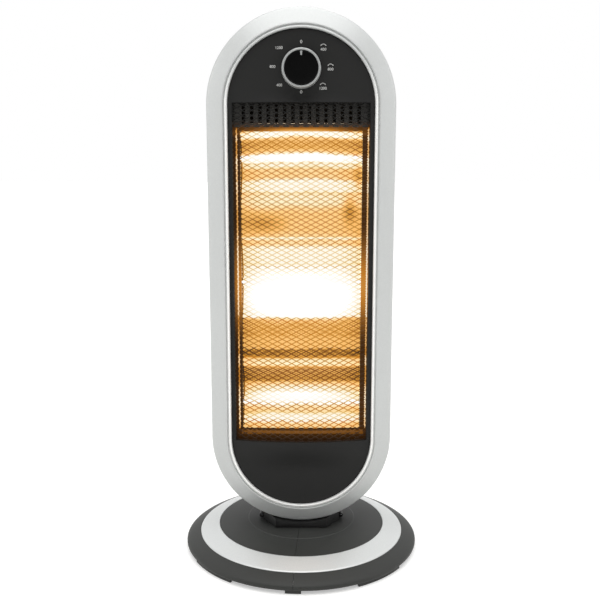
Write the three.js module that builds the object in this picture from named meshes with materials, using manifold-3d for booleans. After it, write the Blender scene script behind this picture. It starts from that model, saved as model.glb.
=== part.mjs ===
// A free-standing halogen heater: a pill-shaped head with three quartz tubes swings on a round
// base. Millimetres, +Z up, the front faces -Y, the origin is on the floor under the swivel axis.
// The base stands turned a few degrees from the head, as the heater stopped within its sweep.

import * as THREE from 'three';
import { mergeVertices } from 'three/addons/utils/BufferGeometryUtils.js';
import Module from 'manifold-3d';

const wasm = await Module();
wasm.setup();

// ---- driving dimensions -----------------------------------------------------------------------

const GAP = 0.3;                    // between pieces that touch
const BASE_R = 142.5;               // base disc
const BASE_TURN = -3.75;            // degrees, the base against the head at rest
const RING_OUTER_R = 125;           // silver ring let into the base
const RING_INNER_R = 101.8;
const BASE_TOP_Z = 33.2;            // flat top of the base under the neck
const HEAD_R = 106.7;               // half the head's width
const TOP_CENTRE_Z = 534.2;         // centres of the head's round ends
const BOTTOM_CENTRE_Z = 146.9;
const BEZEL_REAR_Y = -24;
const SHELL_REAR_Y = 50;
const PANEL_R = 82.4;               // half the black panel's width
const PANEL_Y = -40.5;              // flat part of the panel's face
const PANEL_BOW = 11;               // how far the window stands forward in the middle
const PANEL_THICK = 2.5;
const GUARD_GAP = 0.6;              // between the panel's back and the bowed guard
const WINDOW = { halfX: 77.2, low: 145, high: 537 };
const KNOB_Z = 573.4;
const KNOB_R = 22;
const BUSH_HOLE_R = 4.6;            // hole in the panel for the switch's bush
const MESH = { columns: 4, rows: 20, strand: 2.2, thick: 1.2, rim: 2.6 };
const SLOTS = { count: 15, pitch: 9.25, width: 3.9, low: 514, high: 535 };
const OPENING = { halfX: 70, low: 152.7, high: 505.3 };   // mouth of the reflector
const TUBE_Z = { top: 475, middle: 327, bottom: 179 };
const TUBE_Y = 10;
const TUBE_R = 5;
const TUBE_HALF = 84;
const CRANK_AXIS_Y = 18;            // motor axis behind the swivel axis
const CRANK_THROW = 12;
const CRANK_RATIO = -2.6;           // crank turns per turn of the head
const SPINDLE_R = 14;
const SPINDLE_BORE_R = 10;
const SPINDLE_PLAY = 0.6;
const TIP_PIN = { x: 52, y: -58 };  // tip-over plunger

const TURN_SIDES = 36;              // facets of a large turned piece
const ARC_STEPS = 16;               // facets of a half-round end

const rad = THREE.MathUtils.degToRad;

// ---- solids -----------------------------------------------------------------------------------

// Makes a closed three.js geometry into a solid that can be joined and cut.
function solid(geometry) {
  const bare = geometry.clone();
  bare.deleteAttribute('normal');
  bare.deleteAttribute('uv');
  const merged = mergeVertices(bare, 1e-4);
  const p = merged.getAttribute('position').array;
  const corner = (i) => new THREE.Vector3(p[3 * i], p[3 * i + 1], p[3 * i + 2]);
  const triangles = [];
  let volume = 0;
  const index = merged.index.array;
  for (let i = 0; i < index.length; i += 3) {
    const [a, b, c] = index.slice(i, i + 3);
    if (a === b || b === c || c === a) continue;
    triangles.push([a, b, c]);
    volume += corner(a).dot(corner(b).cross(corner(c)));
  }
  const outward = volume < 0 ? triangles.map(([a, b, c]) => [a, c, b]) : triangles;
  return new wasm.Manifold(new wasm.Mesh({
    numProp: 3,
    vertProperties: Float32Array.from(p),
    triVerts: Uint32Array.from(outward.flat()),
  }));
}

function joined(first, ...others) {
  return others.reduce((whole, piece) => whole.add(piece), first);
}

function cut(first, ...others) {
  return others.reduce((whole, piece) => whole.subtract(piece), first);
}

// A box between two corners, given as ranges along the three axes.
function block([x0, x1], [y0, y1], [z0, z1]) {
  const box = new THREE.BoxGeometry(x1 - x0, y1 - y0, z1 - z0);
  return solid(box.translate((x0 + x1) / 2, (y0 + y1) / 2, (z0 + z1) / 2));
}

// A round bar along an axis. centre holds the other two coordinates, in x, y, z order.
function rod(axis, radius, [from, to], centre = [0, 0], sides = 16, farRadius = radius) {
  const bar = new THREE.CylinderGeometry(farRadius, radius, to - from, sides);
  const middle = (from + to) / 2;
  if (axis === 'x') bar.rotateZ(-Math.PI / 2).translate(middle, centre[0], centre[1]);
  if (axis === 'y') bar.translate(centre[0], middle, centre[1]);
  if (axis === 'z') bar.rotateX(Math.PI / 2).translate(centre[0], centre[1], middle);
  return solid(bar);
}

function tube(axis, radius, bore, [from, to], centre = [0, 0], sides = 16) {
  const hole = rod(axis, bore, [from - 1, to + 1], centre, sides);
  return rod(axis, radius, [from, to], centre, sides).subtract(hole);
}

// A profile of [radius, height] turned about the Z axis. It closes on itself. A flat facet, not a
// corner, faces each way, so that the seam and the cord's tunnel fall inside a facet.
function turned(profile, sides = TURN_SIDES) {
  const points = [...profile, profile[0]].map(([r, z]) => new THREE.Vector2(r, z));
  const lathe = new THREE.LatheGeometry(points, sides).rotateX(Math.PI / 2);
  return solid(lathe.rotateZ(Math.PI / sides));
}

const toShape = (outline) => new THREE.Shape(outline.map(([x, y]) => new THREE.Vector2(x, y)));

// A flat outline with holes, extruded between two places along Z, then turned by place().
function punchedPlate(outline, [from, to], holes, place) {
  const extruded = (outlines, low, high) => {
    const options = { depth: high - low, bevelEnabled: false };
    return solid(place(new THREE.ExtrudeGeometry(outlines.map(toShape), options)
      .translate(0, 0, low)));
  };
  const plate = extruded([outline], from, to);
  return holes.length ? plate.subtract(extruded(holes, from - 1, to + 1)) : plate;
}

// An outline of [x, y] points, raised between two heights.
const raised = (outline, span, holes = []) => punchedPlate(outline, span, holes, (g) => g);

// An outline of [x, z] points, standing up between two depths.
const upright = (outline, [front, back], holes = []) => punchedPlate(outline, [-back, -front],
  holes, (g) => g.rotateX(Math.PI / 2));

// An outline of [y, z] points, between two places along X.
const sideways = (outline, span, holes = []) => punchedPlate(outline, span, holes,
  (g) => g.rotateY(Math.PI / 2).rotateX(Math.PI / 2));

function circle(radius, [x, y], sides = 16) {
  return Array.from({ length: sides }, (_, i) => {
    const turn = (2 * Math.PI * i) / sides;
    return [x + radius * Math.cos(turn), y + radius * Math.sin(turn)];
  });
}

// Skins rings of points, all with the same count. Open ends get a flat cap.
function loft(rings, closed = false) {
  const n = rings[0].length;
  const points = rings.flat();
  const index = [];
  const spans = closed ? rings.length : rings.length - 1;
  for (let k = 0; k < spans; k += 1) {
    const near = k * n;
    const far = ((k + 1) % rings.length) * n;
    for (let i = 0; i < n; i += 1) {
      const j = (i + 1) % n;
      index.push(near + i, near + j, far + j, near + i, far + j, far + i);
    }
  }
  if (!closed) {
    for (const [k, forward] of [[0, false], [rings.length - 1, true]]) {
      const centre = points.length;
      const sum = rings[k].reduce((total, point) => total.clone().add(point), new THREE.Vector3());
      points.push(sum.divideScalar(n));
      for (let i = 0; i < n; i += 1) {
        const edge = [k * n + i, k * n + ((i + 1) % n)];
        index.push(centre, ...(forward ? edge : edge.reverse()));
      }
    }
  }
  const geometry = new THREE.BufferGeometry();
  const position = points.flatMap((point) => point.toArray());
  geometry.setAttribute('position', new THREE.Float32BufferAttribute(position, 3));
  geometry.setIndex(index);
  return solid(geometry);
}

// The head's pill outline at a half-width r and a depth y.
function pill(r, y) {
  const points = [];
  for (const [centre, start] of [[TOP_CENTRE_Z, 0], [BOTTOM_CENTRE_Z, Math.PI]]) {
    for (let i = 0; i <= ARC_STEPS; i += 1) {
      const turn = start + (Math.PI * i) / ARC_STEPS;
      points.push(new THREE.Vector3(r * Math.cos(turn), y, centre + r * Math.sin(turn)));
    }
  }
  return points;
}

// A pill-shaped body whose half-width changes with depth, or a pill-shaped ring of that profile.
const pillBody = (profile) => loft(profile.map(([r, y]) => pill(r, y)));
const pillRing = (profile) => loft(profile.map(([r, y]) => pill(r, y)), true);

// ---- materials and nodes ----------------------------------------------------------------------

const finish = {
  silver: { color: '#c9cccb', roughness: 0.35, metalness: 0.35 },
  black: { color: '#232322', roughness: 0.4, metalness: 0 },
  dark: { color: '#3d3e3c', roughness: 0.6, metalness: 0 },
  shell: { color: '#2b2b2b', roughness: 0.6, metalness: 0 },
  rubber: { color: '#1c1c1c', roughness: 0.9, metalness: 0 },
  guard: { color: '#141312', roughness: 0.5, metalness: 0.4 },
  reflector: { color: '#e3d3b4', roughness: 0.2, metalness: 1 },
  steel: { color: '#9a9da0', roughness: 0.4, metalness: 1 },
  quartz: { color: '#f7ead2', roughness: 0.1, metalness: 0 },
  filament: { color: '#ffb45a', roughness: 0.5, metalness: 0.5 },
  ceramic: { color: '#e9e5da', roughness: 0.7, metalness: 0 },
  nylon: { color: '#dcdcd4', roughness: 0.6, metalness: 0 },
  brass: { color: '#b99a55', roughness: 0.4, metalness: 1 },
};

const heater = new THREE.Group();
const head = new THREE.Group();
const base = new THREE.Group();
base.rotation.z = rad(BASE_TURN);
heater.add(head, base);

function node(group, name, piece, look) {
  const mesh = piece.getMesh();
  const geometry = new THREE.BufferGeometry();
  const position = Float32Array.from(mesh.vertProperties);
  geometry.setAttribute('position', new THREE.BufferAttribute(position, 3));
  geometry.setIndex(Array.from(mesh.triVerts));
  const made = new THREE.Mesh(geometry, new THREE.MeshStandardMaterial(finish[look]));
  geometry.computeVertexNormals();
  made.name = name;
  group.add(made);
}

const left = (piece) => piece.intersect(block([-200, -GAP / 2], [-200, 200], [-50, 700]));
const right = (piece) => piece.intersect(block([GAP / 2, 200], [-200, 200], [-50, 700]));

// ---- base: two moulded halves with ribs, feet in the rim and a silver ring let in --------------

const RIM_Z = 9;
const SKIN = 2.6;
const HUB_STEP_R = 66;
const UNDER_TOP_Z = 32;             // ribs and bosses run up into the skin
const RIB = { inner: 32, outer: 138, thick: 2, low: 12, count: 8 };
const HUB_WALL = { outer: 36, inner: 33.5, low: 14 };
const SEAM_FLANGE = { half: 2.6, low: 11, inner: 34, front: 137, rear: 128 };
const SEAM_SCREW = { y: 96, z: 17, r: 1.5, headR: 3.4, bossR: 5 };
const SWITCH_BOSS = { x: 17, r: 4.2, low: 15.3 };
const SWITCH_WELL = { r: 14, high: 24.5 };
const FOOT_ANGLES = [45.5, 134.5, 225.5, 314.5];
const FOOT_HALF_ANGLE = 13.9;
const NUB_HALF_ANGLE = 3.75;
const SKIRT = { outer: 139.8, inner: 136.4, low: 0.4, high: 9.4 };
const PAD = { r: 6.6, high: 3.6, ringR: 122, wall: 2.4 };
const CORD_R = 3.8;                 // bore for the supply cord
const TUNNEL = { r: 9.4, wall: 2.5, y: [112, 139], mouthY: 135.5 };
const GLAND = { z: 9.6, r: 6.5, y: [122, 139.6], beadR: 8.5, beadY: [136.4, 139.4], noseY: 141.6 };

// The base's outer line from the spindle hole to the rim, with the recess for the ring.
const baseTop = [
  [SPINDLE_R + 1, BASE_TOP_Z],
  [48, BASE_TOP_Z],
  [HUB_STEP_R - 0.8, 31.9],
  [HUB_STEP_R, 31.1],
  [RING_INNER_R - GAP, 26.4],
  [RING_INNER_R - GAP, 24.4],
  [RING_OUTER_R + GAP, 16.5],
  [RING_OUTER_R + GAP, 18.5],
  [134, 14.6],
  [139.5, 11.6],
  [BASE_R, RIM_Z],
];

function baseShell() {
  const rim = [[BASE_R, 6], [141.4, 4.6], [138.8, 4.6], [138.8, 8.4], [132, 12.2], [124, 13.8]];
  const under = [[100, 21.6], [HUB_STEP_R - 2, 28.4], [34, BASE_TOP_Z - SKIN],
    [SPINDLE_R + 1, BASE_TOP_Z - SKIN]];
  return turned([...baseTop, ...rim, ...under]);
}

// The middle of a floor pad, at an angle from the front.
function padPlace(angle) {
  return [PAD.ringR * Math.sin(rad(angle)), -PAD.ringR * Math.cos(rad(angle))];
}

function baseBody() {
  // The space under the outer line, half a millimetre down, keeps the ribs inside the skin.
  const filled = turned([[0, 2], [0, 31], ...baseTop.slice(1, 7), ...baseTop.slice(8),
    [BASE_R, 2]].map(([r, z]) => [r, z - 0.5]));
  const under = [];
  for (let k = 0; k < RIB.count; k += 1) {
    const rib = new THREE.BoxGeometry(RIB.outer - RIB.inner, RIB.thick, UNDER_TOP_Z - RIB.low)
      .translate((RIB.outer + RIB.inner) / 2, 0, (UNDER_TOP_Z + RIB.low) / 2);
    under.push(solid(rib.rotateZ((2 * Math.PI * (k + 0.5)) / RIB.count)));
  }
  for (const angle of FOOT_ANGLES) {
    under.push(rod('z', PAD.r + PAD.wall, [2.2, UNDER_TOP_Z], padPlace(angle), 10));
  }
  under.push(tube('z', HUB_WALL.outer, HUB_WALL.inner, [HUB_WALL.low, UNDER_TOP_Z], [0, 0], 18));
  const { half, low, inner, front, rear } = SEAM_FLANGE;
  for (const span of [[-front, -inner], [inner, rear]]) {
    under.push(block([-half, half], span, [low, UNDER_TOP_Z]));
  }
  for (const y of [-SEAM_SCREW.y, SEAM_SCREW.y]) {
    under.push(rod('x', SEAM_SCREW.bossR, [-8, 0], [y, SEAM_SCREW.z], 8));
  }
  for (const side of [-1, 1]) {
    const place = [TIP_PIN.x + side * SWITCH_BOSS.x, TIP_PIN.y];
    under.push(rod('z', SWITCH_BOSS.r, [SWITCH_BOSS.low, UNDER_TOP_Z], place, 8));
  }
  const well = rod('z', SWITCH_WELL.r, [0, SWITCH_WELL.high], [TIP_PIN.x, TIP_PIN.y], 10);
  return joined(baseShell(), cut(joined(...under), well).intersect(filled));
}

// A foot: an arc of the rim's skirt that reaches down to the floor.
function skirtArc(angle, half) {
  const steps = Math.max(2, Math.round(half / 4));
  const outline = [];
  for (const [radius, direction] of [[SKIRT.outer, 1], [SKIRT.inner, -1]]) {
    for (let i = 0; i <= steps; i += 1) {
      const turn = rad(angle + direction * half * ((2 * i) / steps - 1));
      outline.push([radius * Math.sin(turn), -radius * Math.cos(turn)]);
    }
  }
  return raised(outline, [SKIRT.low, SKIRT.high]);
}

const feet = FOOT_ANGLES.map((angle) => skirtArc(angle, FOOT_HALF_ANGLE));
const frontNub = skirtArc(0, NUB_HALF_ANGLE);
const padHoles = FOOT_ANGLES.map(
  (angle) => rod('z', PAD.r + GAP, [0, PAD.high + GAP], padPlace(angle), 12));
// The cord's tunnel: a half-round hump in the rear of the rim, split by the seam.
const tunnel = rod('y', TUNNEL.r, TUNNEL.y, [0, GLAND.z], 14);
const tunnelBore = joined(
  rod('y', TUNNEL.r - TUNNEL.wall, [60, TUNNEL.mouthY + 0.5], [0, GLAND.z], 12),
  rod('y', TUNNEL.r - 0.5, [TUNNEL.mouthY, 150], [0, GLAND.z], 14));
const seamScrewHoles = [-1, 1].map((side) => {
  const place = [side * SEAM_SCREW.y, SEAM_SCREW.z];
  return joined(rod('x', SEAM_SCREW.r + 0.4, [-7, 10], place, 8),
    rod('x', SEAM_SCREW.headR + 0.5, [2.7, 10], place, 10));
});
const underTunnel = block([-20, 20], [100, 150], [-20, 1.2]);
const ringSpace = turned([baseTop[4], baseTop[5], baseTop[6], [RING_OUTER_R + GAP, 40],
  [RING_INNER_R - GAP, 40]]);

const wholeBase = cut(joined(baseBody(), ...feet, frontNub, cut(tunnel, underTunnel, ringSpace)),
  ...padHoles, ...seamScrewHoles, tunnelBore, rod('z', SPINDLE_R + SPINDLE_PLAY, [10, 40], [0, 0], 18));
node(base, 'base_left_half', left(wholeBase), 'dark');
node(base, 'base_right_half', right(wholeBase), 'dark');

node(base, 'base_trim_ring', turned([
  [RING_INNER_R, 26.5], [RING_INNER_R + 1.2, 26.9], [RING_OUTER_R - 1.2, 19.4],
  [RING_OUTER_R, 18.7], [RING_OUTER_R, 17.2], [RING_INNER_R, 24.9],
]), 'silver');

FOOT_ANGLES.forEach((angle, i) => {
  const pad = rod('z', PAD.r - 0.8, [0, PAD.high], padPlace(angle), 12, PAD.r);
  node(base, `foot_pad_${i + 1}`, pad, 'rubber');
});

for (const [name, side] of [['front', -1], ['rear', 1]]) {
  const place = [side * SEAM_SCREW.y, SEAM_SCREW.z];
  const screw = joined(rod('x', SEAM_SCREW.r, [-6.5, 3.2], place, 8),
    rod('x', SEAM_SCREW.headR, [3, 5.4], place, 12));
  node(base, `base_seam_screw_${name}`, screw, 'steel');
}

// The bush that the supply cord comes in by, held between the two halves.
node(base, 'cord_gland', cut(
  joined(rod('y', GLAND.r, GLAND.y, [0, GLAND.z], 12),
    rod('y', GLAND.beadR, GLAND.beadY, [0, GLAND.z], 14),
    rod('y', GLAND.beadR - 0.3, [GLAND.beadY[1] - 0.4, GLAND.noseY], [0, GLAND.z], 14, 5.6)),
  rod('y', CORD_R, [120, 143], [0, GLAND.z], 12)), 'rubber');

// ---- swivel: hollow spindle on the base, yoke plate fixed on its top ---------------------------

const SHELF_Z = 55.7;
const YOKE_Z = [SHELF_Z + GAP, SHELF_Z + 3.3];
const STUB = { r: 11.2, bore: 7.4, flats: 8.4, high: 62.4 };   // the spindle above its shelf
const PIN_R = 3.5;
const PIN_PLAY = 0.45;
const SLOT_Y = [21.5, 30.8];        // centres of the round ends of the yoke's slot
const FLANGE = { r: 28, z: [27.4, BASE_TOP_Z - SKIN - GAP] };
const GROOVE = { r: 12, z: [45.2, 47.2] };
const RETAINER = { r: 19, bore: 12.5, z: [45.5, 46.9], mouth: 9 };
const LOCK_RING = { r: 14.6, high: 60.8 };
const BEARING = { r: 22.4, high: 35.9 };

const flatsCut = [[STUB.flats, 20], [-20, -STUB.flats]].map(
  (span) => block([-20, 20], span, [SHELF_Z, 70]));
node(base, 'swivel_spindle', cut(turned([
  [SPINDLE_BORE_R, FLANGE.z[0]], [FLANGE.r, FLANGE.z[0]], [FLANGE.r, FLANGE.z[1]],
  [SPINDLE_R, FLANGE.z[1]], [SPINDLE_R, GROOVE.z[0]], [GROOVE.r, GROOVE.z[0]],
  [GROOVE.r, GROOVE.z[1]], [SPINDLE_R, GROOVE.z[1]], [SPINDLE_R, SHELF_Z], [STUB.r, SHELF_Z],
  [STUB.r, STUB.high], [STUB.bore, STUB.high], [STUB.bore, SHELF_Z - 3],
], 18), ...flatsCut), 'steel');

// An open spring ring in the spindle's groove keeps the head down on its bearing.
node(base, 'spindle_retainer', cut(
  tube('z', RETAINER.r, RETAINER.bore, RETAINER.z, [0, 0], 18),
  block([-RETAINER.mouth / 2, RETAINER.mouth / 2], [-22, 0], [40, 50])), 'steel');

function yokePlate() {
  const arm = [[17, 0], [14.5, 16], [8.6, 37], [-8.6, 37], [-14.5, 16], [-17, 0]];
  const plate = joined(raised(arm, YOKE_Z), rod('z', 19, YOKE_Z, [0, 0], 18));
  const slotWide = PIN_R + PIN_PLAY;
  const slot = joined(block([-slotWide, slotWide], SLOT_Y, [50, 65]),
    ...SLOT_Y.map((y) => rod('z', slotWide, [50, 65], [0, y], 16)));
  const seat = rod('z', STUB.r + GAP, [50, 65], [0, 0], 18)
    .intersect(block([-20, 20], [-STUB.flats - GAP, STUB.flats + GAP], [50, 65]));
  return cut(plate, slot, seat);
}
node(base, 'yoke_plate', yokePlate(), 'steel');
node(base, 'yoke_lock_ring', tube('z', LOCK_RING.r, STUB.r + 0.4,
  [YOKE_Z[1] + GAP, LOCK_RING.high], [0, 0], 18), 'steel');

// ---- tip-over switch: a sprung pin that the floor holds up -------------------------------------

const pinAt = [TIP_PIN.x, TIP_PIN.y];
const PLUNGER = { r: 3.9, high: 21.8, collarR: 6, collar: [3.2, 4.6], headR: 5.6, headLow: 20.4 };
const GUIDE = { r: 9.2, low: 6.8, high: 15, tabLow: 12.6, halfX: 21, halfY: 4.6, springR: 6.7 };

node(base, 'tip_plunger', joined(rod('z', PLUNGER.r, [0, PLUNGER.high], pinAt, 12),
  rod('z', PLUNGER.collarR, PLUNGER.collar, pinAt, 12),
  rod('z', PLUNGER.headR, [PLUNGER.headLow, PLUNGER.high], pinAt, 12)), 'nylon');

node(base, 'tip_switch_guide', cut(
  joined(rod('z', GUIDE.r, [GUIDE.low, GUIDE.high], pinAt, 16),
    block([TIP_PIN.x - GUIDE.halfX, TIP_PIN.x + GUIDE.halfX],
      [TIP_PIN.y - GUIDE.halfY, TIP_PIN.y + GUIDE.halfY], [GUIDE.tabLow, GUIDE.high])),
  rod('z', GUIDE.springR, [5, GUIDE.tabLow + GAP], pinAt, 16),
  rod('z', PLUNGER.r + 0.4, [5, 20], pinAt, 16)), 'nylon');

const SPRING = { turns: 5, r: 5.3, wireR: 0.4, low: 5.6, high: 12 };

function coilSpring() {
  const { turns, r, wireR, low, high } = SPRING;
  class Coil extends THREE.Curve {
    getPoint(t) {
      const turn = 2 * Math.PI * turns * t;
      return new THREE.Vector3(TIP_PIN.x + r * Math.cos(turn), TIP_PIN.y + r * Math.sin(turn),
        low + (high - low) * t);
    }
  }
  const wire = toShape(circle(wireR, [0, 0], 4));
  return solid(new THREE.ExtrudeGeometry(wire, { steps: 7 * turns, extrudePath: new Coil() }));
}
node(base, 'tip_spring', coilSpring(), 'steel');

// The microswitch lies beside the pin, and its lever reaches over the pin's collar.
node(base, 'tip_microswitch', joined(
  block([TIP_PIN.x - 10, TIP_PIN.x + 10], [TIP_PIN.y + 7, TIP_PIN.y + 13.2], [15.3, 23.6]),
  block([TIP_PIN.x - 2.2, TIP_PIN.x + 2.2], [TIP_PIN.y - 4, TIP_PIN.y + 8], [22.4, 23])), 'black');

// ---- neck: the head's foot, an eight-sided block whose top cradles the head ---------------------

const NECK = {
  halfX: 46.5, front: -40, back: 40, chamferX: 31, chamferY: -16, low: 34.2, high: 53, play: 0.4,
};
const EAR = { x: 49, y: -9.8, back: 6, z: 36.6, r: 2.8 };
const NECK_SCREW = { headR: 1.6, head: [0.6, 2.8], r: 0.8, end: 14.2 };   // depths into the ear

function neck() {
  const { halfX, front, back, chamferX, chamferY } = NECK;
  const outline = [[-chamferX, front], [chamferX, front], [halfX, chamferY], [halfX, -chamferY],
    [chamferX, back], [-chamferX, back], [-halfX, -chamferY], [-halfX, chamferY]];
  const body = raised(outline, [NECK.low, NECK.high]);
  const cradle = pillBody([[HEAD_R + NECK.play, -60], [HEAD_R + NECK.play, 60]]);
  const ears = [-1, 1].map(
    (side) => rod('y', EAR.r, [EAR.y, EAR.back], [side * EAR.x, EAR.z], 12));
  const earHoles = [-1, 1].map((side) => joined(
    rod('y', NECK_SCREW.headR + GAP, [EAR.y - 1, EAR.y + 3.2], [side * EAR.x, EAR.z], 12),
    rod('y', NECK_SCREW.r + GAP, [EAR.y - 1, EAR.back - 1], [side * EAR.x, EAR.z], 12)));
  return cut(joined(cut(body, cradle), ...ears), ...earHoles,
    rod('z', SPINDLE_R + SPINDLE_PLAY, [20, 60], [0, 0], 18),
    rod('z', BEARING.r + SPINDLE_PLAY, [30, BEARING.high + GAP], [0, 0], 18));
}
node(head, 'neck', neck(), 'black');

for (const [name, side] of [['left', -1], ['right', 1]]) {
  const at = [side * EAR.x, EAR.z];
  const [front, back] = NECK_SCREW.head.map((deep) => EAR.y + deep);
  node(head, `neck_screw_${name}`, joined(rod('y', NECK_SCREW.headR, [front, back], at, 8),
    rod('y', NECK_SCREW.r, [back - 0.8, EAR.y + NECK_SCREW.end], at, 8)), 'steel');
}

node(head, 'swivel_bearing_ring', tube('z', BEARING.r, SPINDLE_R + 0.8,
  [BASE_TOP_Z + GAP, BEARING.high], [0, 0], 18), 'nylon');

// ---- rear shell: a moulded tub with louvres, a grip, a floor over the neck and motor posts -----

const MOTOR_POST = { x: 40, r: 5, low: 50 };
const MOTOR_PLATE_Z = 70;
const SHELL_WALL = 2.4;
const FLOOR = { halfX: 26, y: [-20, 38], z: [41.2, 45] };
const LOUVRE = { pitch: 12, high: 5, upper: [428, 7, 52], lower: [184, 6, 46] };  // low, count, half
const GRIP = { halfX: 42, low: 572, high: 600, roof: 607, deepY: 27 };

function louvres() {
  const slots = [];
  for (const [low, count, half] of [LOUVRE.upper, LOUVRE.lower]) {
    for (let k = 0; k < count; k += 1) {
      const z = low + LOUVRE.pitch * k;
      slots.push(block([-half, half], [40, 60], [z, z + LOUVRE.high]));
    }
  }
  return slots;
}

// The hand grip: a pocket in the back whose roof rises inwards, so that fingers hook behind it.
function gripPocket(grow, mouthY) {
  const { halfX, low, high, roof, deepY } = GRIP;
  return sideways([[deepY - grow, low - grow], [mouthY, low - grow], [mouthY, high + grow],
    [SHELL_REAR_Y - 4, high + grow], [deepY - grow, roof + grow]], [-halfX - grow, halfX + grow]);
}

function rearShell() {
  const tub = pillBody([[103.8, -31], [103.8, BEZEL_REAR_Y + GAP], [106.2, BEZEL_REAR_Y + GAP],
    [105.2, 10], [103, 30], [96, 43], [84, SHELL_REAR_Y]]);
  const hollow = pillBody([[101.2, -32], [101.4, 8], [99.4, 29], [93, 41.2], [82, 47.4]]);
  const floor = block([-FLOOR.halfX, FLOOR.halfX], FLOOR.y, FLOOR.z);
  const posts = [-1, 1].map((side) => rod('z', MOTOR_POST.r, [MOTOR_POST.low, MOTOR_PLATE_Z - GAP],
    [side * MOTOR_POST.x, CRANK_AXIS_Y], 12).intersect(tub));
  const grip = gripPocket(SHELL_WALL, SHELL_REAR_Y - 1);
  return cut(joined(cut(tub, hollow), floor.intersect(tub), ...posts, grip), ...louvres(),
    gripPocket(0, SHELL_REAR_Y + 10),
    block([-60, 60], [-60, 60], [20, FLOOR.z[0]]),
    rod('z', RETAINER.r + 1.5, [FLOOR.z[1], 60], [0, 0], 18),
    rod('z', SPINDLE_R + SPINDLE_PLAY, [30, 60], [0, 0], 18));
}
node(head, 'rear_shell', rearShell(), 'shell');

// ---- front bezel: a silver frame that slopes back to the outside, with a bead round the panel --

node(head, 'front_bezel', pillRing([
  [HEAD_R, BEZEL_REAR_Y], [HEAD_R, -32.6], [105.4, -35], [88, -43.6], [87.2, -43.6], [87, -41.6],
  [86, -41.6], [85.6, -43.4], [84.2, -44.4], [82.9, -43.4], [82.8, -34.2], [85.3, -34.2],
  [85.3, -39.4], [88.4, -40.9], [104.2, -32.6], [104.2, BEZEL_REAR_Y],
]), 'silver');

// ---- front panel: black, flat at its round ends, bowed forward round the window -----------------

// 0 at the flat ends and 1 at the window, with a smooth change between.
function bowShare(z) {
  return THREE.MathUtils.smoothstep(z, 104, WINDOW.low)
    * (1 - THREE.MathUtils.smoothstep(z, 508, 552));
}

// The depth of the panel's face at a point.
function panelFace(x, z) {
  return PANEL_Y - PANEL_BOW * (1 - (x / PANEL_R) ** 2) * bowShare(z);
}

function panelHalfWidth(z) {
  const past = Math.max(z - TOP_CENTRE_Z + 1, BOTTOM_CENTRE_Z - z, 0);
  return Math.sqrt(Math.max(PANEL_R ** 2 - past ** 2, 0));
}

// A sheet that follows the panel's face, at a depth behind it, row by row of height.
function bowedSheet(heights, halfWidth, across, [front, back]) {
  const row = (z, depth) => Array.from({ length: across + 1 }, (_, i) => {
    const x = halfWidth(z) * ((2 * i) / across - 1);
    return new THREE.Vector3(x, panelFace(x, z) + depth, z);
  });
  return loft(heights.map((z) => [...row(z, front), ...row(z, back).reverse()]));
}

function frontPanel() {
  const heights = [];
  for (let a = 4; a < 90; a += 86 / 9) {
    heights.push(BOTTOM_CENTRE_Z - PANEL_R * Math.cos(rad(a)));
  }
  heights.push(WINDOW.low, 500, 510, 518, 526);
  for (let a = 90; a > 3; a -= 86 / 9) {
    heights.push(TOP_CENTRE_Z - 1 + PANEL_R * Math.cos(rad(a)));
  }
  const sheet = bowedSheet(heights, panelHalfWidth, 8, [0, PANEL_THICK]);
  const window = block([-WINDOW.halfX, WINDOW.halfX], [-80, -20], [WINDOW.low, WINDOW.high]);
  return cut(sheet, window, rod('y', BUSH_HOLE_R, [-80, -20], [0, KNOB_Z], 16));
}
node(head, 'front_panel', frontPanel(), 'black');

// ---- guard: one sheet of expanded metal, bowed like the panel ----------------------------------

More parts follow.
